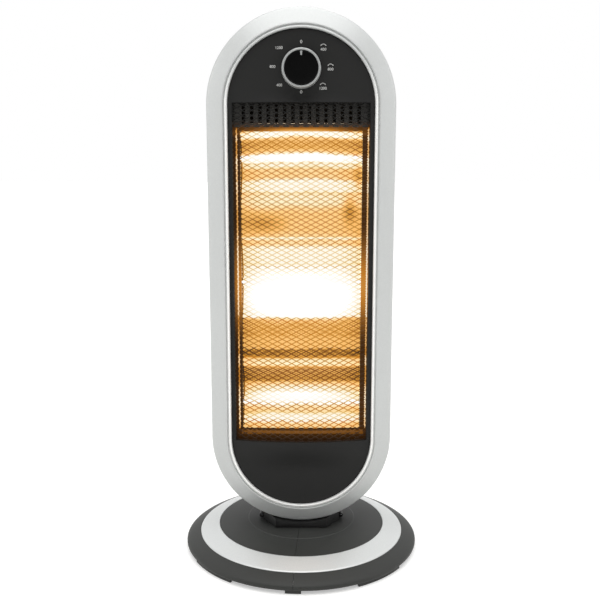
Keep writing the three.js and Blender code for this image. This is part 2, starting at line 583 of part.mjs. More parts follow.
// The sheet is laid out flat as faces that share their corners: a small plate where strands cross,
// a strand along each side of a diamond, and a plain border.
function meshFaces() {
  const { halfX, low, high } = WINDOW;
  const { columns, rows, strand, rim } = MESH;
  const wide = (2 * halfX) / columns;
  const tall = (high - low) / rows;
  const across = (wide * tall) / (2 * Math.hypot(wide / 2, tall / 2));
  const open = 1 - strand / across;
  const inX = (x) => THREE.MathUtils.clamp(x, -halfX, halfX);
  const inZ = (z) => THREE.MathUtils.clamp(z, low, high);

  // The corners of the diamond at a place in the lattice, cut off at the window's edge.
  const diamond = (i, j) => {
    if (i < 0 || j < 0 || i > 2 * columns || j > 2 * rows) return null;
    const [x, z] = [-halfX + (i * wide) / 2, low + (j * tall) / 2];
    const [a, b] = [(open * wide) / 2, (open * tall) / 2];
    return {
      left: [inX(x - a), z], right: [inX(x + a), z], down: [x, inZ(z - b)], up: [x, inZ(z + b)],
    };
  };

  const faces = [];
  for (let j = 0; j <= 2 * rows; j += 1) {
    for (let i = 0; i <= 2 * columns; i += 1) {
      if ((i + j) % 2) {
        faces.push([diamond(i - 1, j)?.right, diamond(i, j - 1)?.up, diamond(i + 1, j)?.left,
          diamond(i, j + 1)?.down].filter(Boolean));
      } else {
        const [here, above, below] = [diamond(i, j), diamond(i + 1, j + 1), diamond(i + 1, j - 1)];
        if (above) faces.push([here.right, above.down, above.left, here.up]);
        if (below) faces.push([here.down, below.left, below.up, here.right]);
      }
    }
  }
  const [a, b] = [(open * wide) / 2, (open * tall) / 2];
  const stops = (from, to, pitch, reach) => [...new Set([from, to, ...Array.from(
    { length: Math.round((to - from) / pitch) + 1 },
    (_, k) => [from + k * pitch - reach, from + k * pitch + reach]).flat()]
    .filter((value) => value >= from && value <= to))].sort((p, q) => p - q);
  const xs = [-halfX - rim, ...stops(-halfX, halfX, wide, a), halfX + rim];
  const zs = [low - rim, ...stops(low, high, tall, b), high + rim];
  for (let k = 0; k + 1 < zs.length; k += 1) {
    for (const [x0, x1] of [xs.slice(0, 2), xs.slice(-2)]) {
      faces.push([[x0, zs[k]], [x1, zs[k]], [x1, zs[k + 1]], [x0, zs[k + 1]]]);
    }
  }
  for (let k = 1; k + 2 < xs.length; k += 1) {
    for (const [z0, z1] of [zs.slice(0, 2), zs.slice(-2)]) {
      faces.push([[xs[k], z0], [xs[k + 1], z0], [xs[k + 1], z1], [xs[k], z1]]);
    }
  }
  return faces;
}

// Gives flat faces of [x, z] corners a front and a back, and a wall along every open edge.
function thickened(faces, frontAt, backAt) {
  const numbers = new Map();
  const corners = [];
  const number = ([x, z]) => {
    const key = `${x.toFixed(3)} ${z.toFixed(3)}`;
    if (!numbers.has(key)) {
      numbers.set(key, corners.length);
      corners.push([x, z]);
    }
    return numbers.get(key);
  };
  const area = (face) => face.reduce((sum, [x, z], k) => {
    const [nextX, nextZ] = face[(k + 1) % face.length];
    return sum + x * nextZ - nextX * z;
  }, 0);
  const loops = faces.map((face) => (area(face) > 0 ? face : [...face].reverse()).map(number));
  const edges = new Set(loops.flatMap((loop) => loop.map(
    (from, k) => `${from} ${loop[(k + 1) % loop.length]}`)));
  const n = corners.length;
  const index = [];
  for (const loop of loops) {
    for (let k = 1; k + 1 < loop.length; k += 1) {
      index.push(loop[0], loop[k], loop[k + 1], n + loop[0], n + loop[k + 1], n + loop[k]);
    }
  }
  for (const edge of edges) {
    const [from, to] = edge.split(' ').map(Number);
    if (!edges.has(`${to} ${from}`)) index.push(to, from, n + from, to, n + from, n + to);
  }
  const position = [...corners.map(([x, z]) => [x, frontAt(x, z), z]),
    ...corners.map(([x, z]) => [x, backAt(x, z), z])].flat();
  const geometry = new THREE.BufferGeometry();
  geometry.setAttribute('position', new THREE.Float32BufferAttribute(position, 3));
  geometry.setIndex(index);
  return solid(geometry);
}

function guardGrille() {
  const front = (x, z) => panelFace(x, z) + PANEL_THICK + GUARD_GAP;
  return thickened(meshFaces(), front, (x, z) => front(x, z) + MESH.thick);
}
node(head, 'guard_grille', guardGrille(), 'guard');

// ---- slotted vent plate above the reflector ------------------------------------------------------

const VENT = { halfX: 79.5, low: 510, high: 541, front: -34.5, back: -8, thick: 1.2 };

function ventPlate() {
  const slots = Array.from({ length: SLOTS.count }, (_, i) => {
    const x = (i - (SLOTS.count - 1) / 2) * SLOTS.pitch;
    const half = SLOTS.width / 2;
    return [[x - half, SLOTS.low], [x + half, SLOTS.low], [x + half, SLOTS.high],
      [x - half, SLOTS.high]];
  });
  const { halfX, low, high, front, back, thick } = VENT;
  const outline = [[-halfX, low], [halfX, low], [halfX, high], [-halfX, high]];
  const top = block([-halfX, halfX], [front, back], [high - thick, high]);
  return joined(upright(outline, [front, front + thick], slots), top);
}
node(head, 'vent_plate', ventPlate(), 'guard');

// ---- reflector: pressed pan with a trough behind each tube, end plates and a mitred frame ------

const SHEET = 1.2;
const RIDGE_Y = -6;
const PAN_DEEPEST_Y = 25;
const PLATE_X = 71.3;
const END_PLATE = { front: -18.2, low: 152, high: 506 };
const SHIELD_Y = 33;
const TROUGHS = [
  { low: OPENING.low, high: 231, lowY: -18.4, highY: RIDGE_Y },
  { low: 283, high: 380, lowY: RIDGE_Y, highY: RIDGE_Y },
  { low: 427, high: OPENING.high, lowY: RIDGE_Y, highY: -18.4 },
];

function reflectorPan() {
  const steps = 9;
  const line = TROUGHS.flatMap(({ low, high, lowY, highY }) => {
    return Array.from({ length: steps + 1 }, (_, i) => {
      const t = i / steps;
      const rim = lowY + (highY - lowY) * t;
      const deep = rim + (PAN_DEEPEST_Y - rim) * (1 - (2 * t - 1) ** 2);
      return [deep, low + (high - low) * t];
    });
  });
  const back = line.map(([y, z]) => [y + SHEET, z]).reverse();
  return sideways([...line, ...back], [-PLATE_X + GAP, PLATE_X - GAP]);
}
node(head, 'reflector_pan', reflectorPan(), 'reflector');

const tubeHoles = (radius) => Object.values(TUBE_Z).map((z) => circle(radius, [TUBE_Y, z], 12));

for (const [name, side] of [['left', -1], ['right', 1]]) {
  const { front, low, high } = END_PLATE;
  const outline = [[front, low], [SHIELD_Y - GAP, low], [SHIELD_Y - GAP, high], [front, high]];
  const span = side > 0 ? [PLATE_X, PLATE_X + SHEET] : [-PLATE_X - SHEET, -PLATE_X];
  node(head, `reflector_end_${name}`, sideways(outline, span, tubeHoles(TUBE_R + 1.4)),
    'reflector');
}

function reflectorFrame() {
  const ring = ([grow, y]) => [[-1, -1], [1, -1], [1, 1], [-1, 1]].map(([i, k]) => {
    const middle = (OPENING.high + OPENING.low) / 2;
    const half = (OPENING.high - OPENING.low) / 2 + grow;
    return new THREE.Vector3(i * (OPENING.halfX + grow), y, middle + k * half);
  });
  const section = [[0, -20.4], [5, -25], [7.4, -25], [7.4, -23.6], [5.4, -23.6], [0.6, -19]];
  return loft(section.map(ring), true);
}
node(head, 'reflector_frame', reflectorFrame(), 'guard');

// ---- tubes: open quartz sleeves with a filament, each held by two ceramic caps -----------------

const CAP_R = 7;
const CAP_X = [80, 93];
const CAP_RAIL = { front: -4, low: 160, high: 494, x: 87 };
const FILAMENT_R = 0.9;

for (const [name, z] of Object.entries(TUBE_Z)) {
  const at = [TUBE_Y, z];
  node(head, `quartz_tube_${name}`, tube('x', TUBE_R, TUBE_R - 1.1, [-TUBE_HALF, TUBE_HALF], at, 12),
    'quartz');
  node(head, `filament_${name}`, rod('x', FILAMENT_R, [-TUBE_HALF + 1, TUBE_HALF - 1], at, 8),
    'filament');
  for (const [end, side] of [['left', -1], ['right', 1]]) {
    const span = side > 0 ? CAP_X : [-CAP_X[1], -CAP_X[0]];
    const socket = side > 0 ? [CAP_X[0] - 1, TUBE_HALF + 0.6] : [-TUBE_HALF - 0.6, -CAP_X[0] + 1];
    node(head, `tube_cap_${name}_${end}`, cut(rod('x', CAP_R, span, at, 12),
      rod('x', TUBE_R + 0.4, socket, at, 12)), 'ceramic');
  }
}

for (const [name, side] of [['left', -1], ['right', 1]]) {
  const { front, low, high, x } = CAP_RAIL;
  const outline = [[front, low], [SHIELD_Y - GAP, low], [SHIELD_Y - GAP, high], [front, high]];
  const span = side > 0 ? [x, x + SHEET] : [-x - SHEET, -x];
  node(head, `cap_rail_${name}`, sideways(outline, span, tubeHoles(CAP_R + 0.35)), 'steel');
}

// ---- heat shield behind the reflector, and what is fixed to it ---------------------------------

const SHIELD = { halfX: 95.4, front: 2, low: 144, high: 508 };
const CUTOUT = { x: 40, z: 486, r: 8, back: 41, tabHalfX: 12, tabHalfZ: 4, tabBack: 35.5 };
const TERMINALS = { x: [-34, 10], z: [158, 174], back: 45, count: 4, first: -28.5, pitch: 11, r: 2.4 };
const BEHIND_SHIELD = SHIELD_Y + SHEET + GAP;   // where pieces fixed to its back begin

node(head, 'heat_shield', cut(
  block([-SHIELD.halfX, SHIELD.halfX], [SHIELD.front, SHIELD_Y + SHEET], [SHIELD.low, SHIELD.high]),
  block([-SHIELD.halfX + SHEET, SHIELD.halfX - SHEET], [0, SHIELD_Y], [140, 520])), 'steel');

node(head, 'thermal_cutout', joined(
  rod('y', CUTOUT.r, [BEHIND_SHIELD, CUTOUT.back], [CUTOUT.x, CUTOUT.z], 16),
  block([CUTOUT.x - CUTOUT.tabHalfX, CUTOUT.x + CUTOUT.tabHalfX], [BEHIND_SHIELD, CUTOUT.tabBack],
    [CUTOUT.z - CUTOUT.tabHalfZ, CUTOUT.z + CUTOUT.tabHalfZ])), 'black');

node(head, 'terminal_block', cut(
  block(TERMINALS.x, [BEHIND_SHIELD, TERMINALS.back], TERMINALS.z),
  ...Array.from({ length: TERMINALS.count }, (_, k) => rod('y', TERMINALS.r, [40, 50],
    [TERMINALS.first + TERMINALS.pitch * k, (TERMINALS.z[0] + TERMINALS.z[1]) / 2], 10))), 'nylon');

// ---- rotary switch behind the panel, with its knob ------------------------------------------------

const SWITCH_FRONT = PANEL_Y + PANEL_THICK + GAP;
const BUSH_Y = PANEL_Y - 0.8;
const SWITCH = { half: 14, back: -20, bushR: 4.2, bore: 3.3, boreEnd: -28, lugX: 8, lugHalf: 2.4 };
const SWITCH_SPINDLE = { r: 2.9, y: [-51.6, -28.6] };

node(head, 'rotary_switch', cut(
  joined(
    block([-SWITCH.half, SWITCH.half], [SWITCH_FRONT, SWITCH.back],
      [KNOB_Z - SWITCH.half, KNOB_Z + SWITCH.half]),
    rod('y', SWITCH.bushR, [BUSH_Y, SWITCH_FRONT + 1], [0, KNOB_Z], 16),
    ...[-1, 1].map((side) => block(
      [side * SWITCH.lugX - SWITCH.lugHalf, side * SWITCH.lugX + SWITCH.lugHalf],
      [SWITCH.back - 1, SWITCH.back + 7], [KNOB_Z - 0.4, KNOB_Z + 0.4]))),
  rod('y', SWITCH.bore, [BUSH_Y - 2, SWITCH.boreEnd], [0, KNOB_Z], 16)), 'black');

const KNOB_BACK = -42.4;
const KNOB_FACE = -57;
const KNOB_INSIDE = -53;
const CAP = { r: 18.9, innerR: 16.6, bossR: 6.4, bore: 3.2, boreEnd: -52.4, edge: 0.8 };
const POINTER = { halfX: 1.5, thick: 0.6, low: 12.5, high: 16.5 };   // heights over the knob's axis

function aboutKnobAxis(profile, sides = 24) {
  // a profile of [radius, depth in front of the panel], turned about the knob's axis
  const points = [...profile, profile[0]].map(([r, y]) => new THREE.Vector2(r, y));
  return solid(new THREE.LatheGeometry(points, sides).translate(0, 0, KNOB_Z));
}

const pointerRecess = block([-POINTER.halfX - GAP, POINTER.halfX + GAP],
  [-60, KNOB_FACE + POINTER.thick + GAP], [KNOB_Z + POINTER.low - GAP, KNOB_Z + POINTER.high + GAP]);
node(head, 'knob_cap', cut(aboutKnobAxis([[0, CAP.boreEnd], [CAP.bore, CAP.boreEnd],
  [CAP.bore, KNOB_BACK], [CAP.bossR, KNOB_BACK], [CAP.bossR, KNOB_INSIDE],
  [CAP.innerR, KNOB_INSIDE], [CAP.innerR, KNOB_BACK], [CAP.r, KNOB_BACK],
  [CAP.r, KNOB_FACE + CAP.edge], [CAP.r - CAP.edge, KNOB_FACE], [0, KNOB_FACE]]),
pointerRecess), 'black');
const trimInner = CAP.r + GAP;
node(head, 'knob_trim_ring', aboutKnobAxis([[trimInner, KNOB_BACK], [KNOB_R, KNOB_BACK],
  [KNOB_R, -44], [KNOB_R - 1.1, -56], [trimInner + 1, -56.8], [trimInner, -56.4]]), 'silver');
node(head, 'knob_pointer', block([-POINTER.halfX, POINTER.halfX],
  [KNOB_FACE, KNOB_FACE + POINTER.thick], [KNOB_Z + POINTER.low, KNOB_Z + POINTER.high]), 'silver');
node(head, 'switch_spindle', rod('y', SWITCH_SPINDLE.r, SWITCH_SPINDLE.y, [0, KNOB_Z], 12), 'brass');

// ---- oscillation drive: motor on a bracket, crank disc, roller in the yoke's slot --------------

const crankAt = [0, CRANK_AXIS_Y];
const DISC = { r: 17, z: [62.7, 65.6], hubR: 6, hubHigh: 69.4, shaftR: 2.9, shaftHigh: 81, pinR: 1.6 };
const BRACKET = { halfX: 47, halfY: 13, thick: 1.5, holeR: 9 };
const MOTOR = { r: 24.5, high: 86, endR: 3, tabHalfX: 32, tabHalfY: 4, bore: 3.4, boreHigh: 82 };
const MOTOR_LOW = MOTOR_PLATE_Z + BRACKET.thick + GAP;

node(head, 'motor_bracket', cut(
  block([-BRACKET.halfX, BRACKET.halfX],
    [CRANK_AXIS_Y - BRACKET.halfY, CRANK_AXIS_Y + BRACKET.halfY],
    [MOTOR_PLATE_Z, MOTOR_PLATE_Z + BRACKET.thick]),
  rod('z', BRACKET.holeR, [60, 80], crankAt, 16),
  ...[-1, 1].map((side) => rod('z', 1.8, [60, 80], [side * MOTOR_POST.x, CRANK_AXIS_Y], 10))),
'steel');

node(head, 'oscillation_motor', cut(
  joined(rod('z', MOTOR.r, [MOTOR_LOW, MOTOR.high], crankAt, 24),
    rod('z', MOTOR.endR, [MOTOR.high - 1, MOTOR.high + 2], crankAt, 10),
    block([-MOTOR.tabHalfX, MOTOR.tabHalfX],
      [CRANK_AXIS_Y - MOTOR.tabHalfY, CRANK_AXIS_Y + MOTOR.tabHalfY], [MOTOR_LOW, MOTOR_LOW + 1.2])),
  rod('z', MOTOR.bore, [60, MOTOR.boreHigh], crankAt, 12)), 'steel');

// The crank turns about the motor's axis. At rest it stands so that its pin meets the yoke's slot.
const crank = new THREE.Group();
crank.position.y = CRANK_AXIS_Y;
crank.rotation.z = rad(CRANK_RATIO * -BASE_TURN);
head.add(crank);
const pinCentre = [0, CRANK_THROW];
node(crank, 'crank_disc', joined(rod('z', DISC.r, DISC.z, [0, 0], 18),
  rod('z', DISC.hubR, [DISC.z[1] - 0.6, DISC.hubHigh]),
  rod('z', DISC.shaftR, [DISC.z[1] - 0.6, DISC.shaftHigh], [0, 0], 12),
  rod('z', DISC.pinR, [YOKE_Z[0] - 0.4, DISC.z[0] + GAP], pinCentre, 10)), 'nylon');
node(crank, 'crank_roller', tube('z', PIN_R, 2, [YOKE_Z[0] - 0.2, YOKE_Z[1] + 2.6], pinCentre),
  'brass');

export default heater;
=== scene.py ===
import math

import bmesh
import bpy
import numpy as np
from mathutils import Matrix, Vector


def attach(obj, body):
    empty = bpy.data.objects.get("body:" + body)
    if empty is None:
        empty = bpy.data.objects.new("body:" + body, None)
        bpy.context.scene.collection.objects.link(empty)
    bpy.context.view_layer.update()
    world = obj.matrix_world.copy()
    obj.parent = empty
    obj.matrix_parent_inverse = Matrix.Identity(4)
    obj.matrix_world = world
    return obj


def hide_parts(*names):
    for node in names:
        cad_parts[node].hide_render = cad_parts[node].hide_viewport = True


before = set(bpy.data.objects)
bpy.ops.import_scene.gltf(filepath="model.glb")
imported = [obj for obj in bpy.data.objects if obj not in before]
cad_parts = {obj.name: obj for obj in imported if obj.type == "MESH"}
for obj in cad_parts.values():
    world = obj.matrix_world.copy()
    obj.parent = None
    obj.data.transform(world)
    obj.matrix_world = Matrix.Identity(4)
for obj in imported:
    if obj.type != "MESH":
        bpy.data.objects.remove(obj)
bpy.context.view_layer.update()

# A free-standing halogen heater with a pill-shaped head that swings on a round base. Shapes and
# patterns are worked out in millimetres (+Z up, the front faces -Y), and meshes hold metres.

# ---- Base halves ----
# The base is a shallow dome of dark ABS, injection-moulded in two halves that meet along a seam
# from front to back. The tool was spark-eroded, which leaves an even, matt grain on the top.

MM = 0.001
BASE_TURN = -3.75          # degrees, the base against the head at rest
BASE_R = 142.3
SEAM = 0.15                # half the gap between the two halves
DRAWN_IN = 0.9985          # scale of each half, so that the gap doesn't widen the base
SKIRT_TOP = 9.4
GLAND_Z, GLAND_HOLE_R = 9.6, 8.9


def linear(code):
    """Linear colour of an sRGB hex code: c / 12.92 up to 0.04045, else ((c + 0.055) / 1.055)^2.4."""
    c = np.array([int(code[k:k + 2], 16) for k in (1, 3, 5)]) / 255
    rgb = np.where(c <= 0.04045, c / 12.92, ((c + 0.055) / 1.055) ** 2.4)
    return (*rgb.tolist(), 1.0)


def add(tree, kind, inputs=None, **settings):
    """Adds a node, makes its own settings, and fills or links its inputs by name or number."""
    made = tree.nodes.new(kind)
    for key, value in settings.items():
        setattr(made, key, value)
    for key, value in (inputs or {}).items():
        value = getattr(value, "socket", value)
        if isinstance(value, bpy.types.NodeSocket):
            tree.links.new(value, made.inputs[key])
        else:
            made.inputs[key].default_value = value
    return made


class Field:
    """A number that varies over a surface. It holds a socket, and each sum with it adds a node."""

    def __init__(self, socket):
        self.socket = socket

    def maths(self, operation, *others):
        values = dict(enumerate((self, *others)))
        made = add(self.socket.id_data, "ShaderNodeMath", values, operation=operation)
        return Field(made.outputs[0])

    __add__ = __radd__ = lambda self, other: self.maths("ADD", other)
    __sub__ = lambda self, other: self.maths("SUBTRACT", other)
    __mul__ = __rmul__ = lambda self, other: self.maths("MULTIPLY", other)
    __truediv__ = lambda self, other: self.maths("DIVIDE", other)
    __mod__ = lambda self, other: self.maths("MODULO", other)
    __pow__ = lambda self, other: self.maths("POWER", other)
    __abs__ = lambda self: self.maths("ABSOLUTE")


def places(tree):
    """The Object coordinates in mm."""
    metres = add(tree, "ShaderNodeTexCoord").outputs["Object"]
    return add(tree, "ShaderNodeMapping", {"Vector": metres, "Scale": (1 / MM,) * 3}).outputs[0]


def start_material(name, sockets):
    """A new material with constants on its principled shader, and its Object coordinates in mm."""
    made = bpy.data.materials.new(name)
    made.use_nodes = True
    tree = made.node_tree
    shader = tree.nodes["Principled BSDF"]
    for key, value in sockets.items():
        shader.inputs[key].default_value = value
    return made, tree, shader, places(tree)


def link_all(shader, **values):
    """Links sockets or fields to the shader's inputs, whose names are written with _ for a space."""
    for key, value in values.items():
        shader.id_data.links.new(getattr(value, "socket", value), shader.inputs[key.replace("_", " ")])


def moulded(name, dark, light, roughness, specular, grain, depth):
    """A moulded plastic. Colour = dark + (light - dark) x slow noise, roughness varies by 0.05
    with the same noise, and the skin rises by depth x noise at the grain's spacing, in mm."""
    made, tree, shader, place = start_material(name, {"Specular IOR Level": specular})
    flow = add(tree, "ShaderNodeTexNoise", {"Vector": place, "Scale": 1 / 45, "Detail": 4.0}).outputs[0]
    tint = add(tree, "ShaderNodeMix", {0: flow, 6: linear(dark), 7: linear(light)}, data_type="RGBA")
    texture = add(tree, "ShaderNodeTexNoise", {"Vector": place, "Scale": 1 / grain, "Detail": 2.0,
                                               "Roughness": 0.6})
    relief = add(tree, "ShaderNodeBump", {"Height": texture.outputs[0], "Strength": 1.0,
                                          "Distance": depth * MM})
    link_all(shader, Base_Color=tint.outputs[2], Roughness=Field(flow) * 0.1 + (roughness - 0.05),
             Normal=relief.outputs[0])
    return made


# Spark-eroded black ABS: matt, with a grain of about 1 mm that breaks up the highlights.
base_plastic = moulded("textured_abs_base", "#2c2d2b", "#363735", 0.55, 0.35, 0.9, 0.035)


def softened(rows, radius=None, steps=6):
    """Rounds the corners of a closed line of (u, v, radius), or of (u, v) with one radius for all.
    Corner P becomes the curve (1 - t)^2 A + 2 t (1 - t) P + t^2 B, with A and B the radius before
    and after P, or half a side if that is less."""
    rows = np.asarray(rows, float)
    line, radii = rows[:, :2], rows[:, 2:] if radius is None else radius
    before, after = np.roll(line, 1, axis=0) - line, np.roll(line, -1, axis=0) - line
    a, b = (line + side * np.minimum(radii / np.linalg.norm(side, axis=1, keepdims=True), 0.5)
            for side in (before, after))
    t = np.linspace(0, 1, steps)[:, None, None]
    curve = (1 - t) ** 2 * a + 2 * t * (1 - t) * line + t ** 2 * b
    return curve.transpose(1, 0, 2).reshape(-1, 2)


def skin(grid, closed_rows=True, closed_columns=True):
    """Four-sided faces over a grid of points. Where the rows go round but the columns end, the
    first and last columns are filled as outlines."""
    rows, columns = grid.shape[:2]
    i = np.arange(rows if closed_rows else rows - 1)[:, None]
    j = np.arange(columns if closed_columns else columns - 1)[None, :]
    up, on = (i + 1) % rows, (j + 1) % columns
    quads = np.stack([i * columns + j, i * columns + on, up * columns + on, up * columns + j], -1)
    faces = quads.reshape(-1, 4).tolist()
    if closed_rows and not closed_columns:
        ends = np.arange(rows) * columns
        faces += [ends.tolist(), (ends + columns - 1).tolist()]
    return grid.reshape(-1, grid.shape[-1]), faces


def together(*shapes):
    """Several shapes, each (points, faces), as one."""
    starts = np.cumsum([0] + [len(points) for points, _ in shapes])
    faces = [[k + int(start) for k in face] for start, (_, made) in zip(starts, shapes)
             for face in made]
    return np.concatenate([points for points, _ in shapes]), faces


def revolved(line, degrees, axis=2):
    """A line of [radius r, height h] carried round an axis. Along the axis a point is at h, and on
    the next two axes, in x, y, z order, at r cos a and r sin a."""
    r, h = np.asarray(line, float).T[:, :, None]
    a = np.radians(np.asarray(degrees, float))[None, :]
    return np.roll(np.stack([h + 0 * a, r * np.cos(a), r * np.sin(a)], axis=-1), axis, axis=-1)


def whole(sides):
    """The angles of a full turn in equal steps."""
    return np.arange(sides) * 360 / sides


def lathed(line, sides, axis=2):
    """A line of [radius, height] carried all the way round an axis, as a shape."""
    return skin(revolved(line, whole(sides), axis))


def moved(shape, by):
    """A shape moved by (x, y, z)."""
    return shape[0] + by, shape[1]


def spun(shape, degrees):
    """A shape turned about Z."""
    c, s = math.cos(math.radians(degrees)), math.sin(math.radians(degrees))
    return shape[0] @ np.array([[c, s, 0], [-s, c, 0], [0, 0, 1]]), shape[1]


def build(name, shape, look, body=None, nodes=(), crease=38.0):
    """Makes a piece of (points in mm, faces): doubles merged, faces outward, smooth but for edges
    sharper than the crease angle. It rides on a body and stands for CAD nodes."""
    points, faces = shape
    mesh = bpy.data.meshes.new(name)
    mesh.from_pydata(points * MM, [], faces)
    work = bmesh.new()
    work.from_mesh(mesh)
    bmesh.ops.remove_doubles(work, verts=work.verts, dist=0.004 * MM)
    bmesh.ops.recalc_face_normals(work, faces=work.faces)
    work.to_mesh(mesh)
    work.free()
    mesh.shade_smooth()
    mesh.set_sharp_from_angle(angle=math.radians(crease))
    mesh.materials.append(look)
    made = bpy.data.objects.new(name, mesh)
    bpy.context.scene.collection.objects.link(made)
    if body:
        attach(made, body)
        if nodes:
            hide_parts(*nodes)
    return made


def carved(piece, *shapes, crease=38.0):
    """Cuts closed shapes out of a piece and keeps the result as its mesh."""
    for shape in shapes:
        tool = build("cutter", shape, piece.data.materials[0])
        cut = piece.modifiers.new("cut", "BOOLEAN")
        cut.operation, cut.solver, cut.object = "DIFFERENCE", "EXACT", tool
        kept = bpy.data.meshes.new_from_object(
            piece.evaluated_get(bpy.context.evaluated_depsgraph_get()))
        piece.modifiers.clear()
        piece.data = kept
        bpy.data.objects.remove(tool)
    piece.data.shade_smooth()
    piece.data.set_sharp_from_angle(angle=math.radians(crease))
    return piece


def round_bar(radius, low, high, axis=2):
    """A closed round bar along an axis, from low to high."""
    return lathed([(0, low), (radius, low), (radius, high), (0, high)], 48, axis)


# Half the base's section as (radius, height, rounding), from the hub over the top to the rim and
# back underneath.
BASE_SECTION = [
    (15, 33.2, 0.3), (48, 33.2, 12), (65.2, 31.9, 0.8), (66.2, 31.0, 0.9), (84, 29.2, 12),
    (101.5, 26.4, 0.4), (101.5, 24.4, 0.2), (125.3, 16.5, 0.2), (125.3, 18.5, 0.5), (134, 14.8, 7),
    (139.6, 11.8, 3.5), (BASE_R, 9.2, 1.6), (BASE_R, 6, 0.6), (141.2, 4.6, 0.5), (138.8, 4.6, 0.4),
    (138.8, 8.4, 0.8), (132, 12.2, 3), (124, 13.8, 3), (100, 21.6, 3), (64, 28.4, 3),
    (34, 30.6, 2), (15, 30.6, 0.3)]
gland_hole = moved(round_bar(GLAND_HOLE_R, 135.5, 150, 1), (0, 0, GLAND_Z))
for side, sign in (("left", -1), ("right", 1)):
    half_turn = np.linspace(-90, 90, 91) + (180 if sign < 0 else 0)
    half = revolved(softened(BASE_SECTION), half_turn) * (DRAWN_IN, DRAWN_IN, 1)
    half = moved(skin(half, closed_columns=False), (sign * SEAM, 0, 0))
    cover = build(f"base_cover_{side}", spun(half, BASE_TURN), base_plastic, "base",
                  [f"base_{side}_half"])
    carved(cover, spun(gland_hole, BASE_TURN))

# ---- Skirt feet, ribs and floor pads ----
# Four arcs of the rim reach the floor, with a small nub in front, and ribs and bosses stiffen the
# shell underneath. They are one moulding with the base. Four soft rubber pads are pressed into bosses.

FOOT_TURNS = (-44.5, 44.5, 135.5, 224.5)      # degrees about Z from +X; the front is at -90
FOOT_HALF_TURN, NUB_HALF_TURN = 13.9, 3.75
PAD_RING_R = 122.0
RIBS = 8


def plate(outline, stations, axis):
    """A flat outline, given on the two axes after `axis` in x, y, z order, repeated at each station
    along that axis and closed at both ends."""
    flat = np.asarray(outline, float)
    rings = [np.roll(np.column_stack([np.full(len(flat), h), flat]), axis, axis=1) for h in stations]
    return skin(np.stack(rings, axis=1), closed_columns=False)


arc_section = softened([(136.4, 0.4), (139.8, 0.4), (139.8, SKIRT_TOP), (136.4, SKIRT_TOP)], 0.5, 4)
feet = [skin(revolved(arc_section, np.linspace(turn - half, turn + half, 15)), closed_columns=False)
        for turn, half in [(turn, FOOT_HALF_TURN) for turn in FOOT_TURNS] + [(-90, NUB_HALF_TURN)]]
RIB_OUTLINE = [(12, 32), (12, 131), (14.4, 128), (22.6, 100), (29.2, 64), (31.2, 32)]   # (z, radius)
ribs = [spun(plate(RIB_OUTLINE, (-1, 1), 1), (k + 0.5) * 360 / RIBS) for k in range(RIBS)]
hub_wall = lathed([(33.5, 14), (36, 14), (36, 31.5), (33.5, 31.5)], 72)
pad_at = [(PAD_RING_R * math.cos(math.radians(t)), PAD_RING_R * math.sin(math.radians(t)), 0)
          for t in FOOT_TURNS]
boss = lathed([(7, 2.2), (9, 2.2), (9, 15.5), (0, 15.5), (0, 3.9), (7, 3.9)], 32)
underside = together(*feet, *ribs, hub_wall, *(moved(boss, at) for at in pad_at))
build("base_feet_and_ribs", spun(underside, BASE_TURN), base_plastic, "base", ())

# Soft black rubber: fully matt, with a fine bloom.
rubber = moulded("black_rubber", "#191919", "#202020", 0.85, 0.2, 0.6, 0.02)
pad = lathed(softened([(0, 0, 0), (6.4, 0, 0.5), (6.6, 3.6, 0.3), (0, 3.6, 0)], steps=4), 40)
for k, at in enumerate(pad_at):
    build(f"rubber_pad_{k + 1}", spun(moved(pad, at), BASE_TURN), rubber, "base",
          [f"foot_pad_{k + 1}"])

# ---- Cord gland ----
# The supply cord enters at the rear of the rim through a rubber bush, held between the two halves
# under a half-round hump of the moulding. The cord itself isn't modelled.

hump_wall = softened([(8.95, 112), (9.4, 112), (9.4, 139.2), (8.95, 139.2)], 0.1, 3)
hump = skin(revolved(hump_wall, np.linspace(-120, 120, 61), 1), closed_columns=False)
build("cord_hump", spun(moved(hump, (0, 0, GLAND_Z)), BASE_TURN), base_plastic, "base", ())
gland_line = softened([
    (3.8, 122, 0.3), (6.5, 122, 0.3), (6.5, 136.4, 0.2), (8.5, 136.4, 0.4), (8.5, 139.2, 0.2),
    (8.2, 139.4, 0.4), (5.6, 141.6, 0.6), (3.8, 141.6, 0.5)])
build("gland_bush", spun(moved(lathed(gland_line, 48, 1), (0, 0, GLAND_Z)), BASE_TURN), rubber,
      "base", ["cord_gland"])

# ---- Silver ring of the base ----
# A thin ABS ring is let into the base's recess and sprayed with silver lacquer before it is fitted:
# fine aluminium flakes under a clear satin coat.

FLAKE = 0.7                 # mm; real flakes are finer than a pixel, so they are drawn this coarse


def silver_lacquer(name, base, roughness):
    """Silver paint, 0.35 metallic, under a satin clear coat. The base colour is multiplied by 0.95
    to 1.03 in cells of the flakes' size, and a slight bump tilts each flake."""
    made, tree, shader, place = start_material(name, {
        "Metallic": 0.35, "Coat Weight": 0.2, "Coat Roughness": 0.3})
    flakes = add(tree, "ShaderNodeTexVoronoi", {"Vector": place, "Scale": 1 / FLAKE})
    glint = Field(flakes.outputs["Color"]) * 0.08 + 0.95
    tint = add(tree, "ShaderNodeMix", {0: 1.0, 6: linear(base), 7: glint}, data_type="RGBA",
               blend_type="MULTIPLY")
    drift = add(tree, "ShaderNodeTexNoise", {"Vector": place, "Scale": 1 / 60, "Detail": 3.0})
    tilt = add(tree, "ShaderNodeBump", {"Height": flakes.outputs["Color"], "Strength": 0.25,
                                        "Distance": 0.01 * MM})
    link_all(shader, Base_Color=tint.outputs[2], Normal=tilt.outputs[0],
             Roughness=Field(drift.outputs[0]) * 0.08 + (roughness - 0.04))
    return made


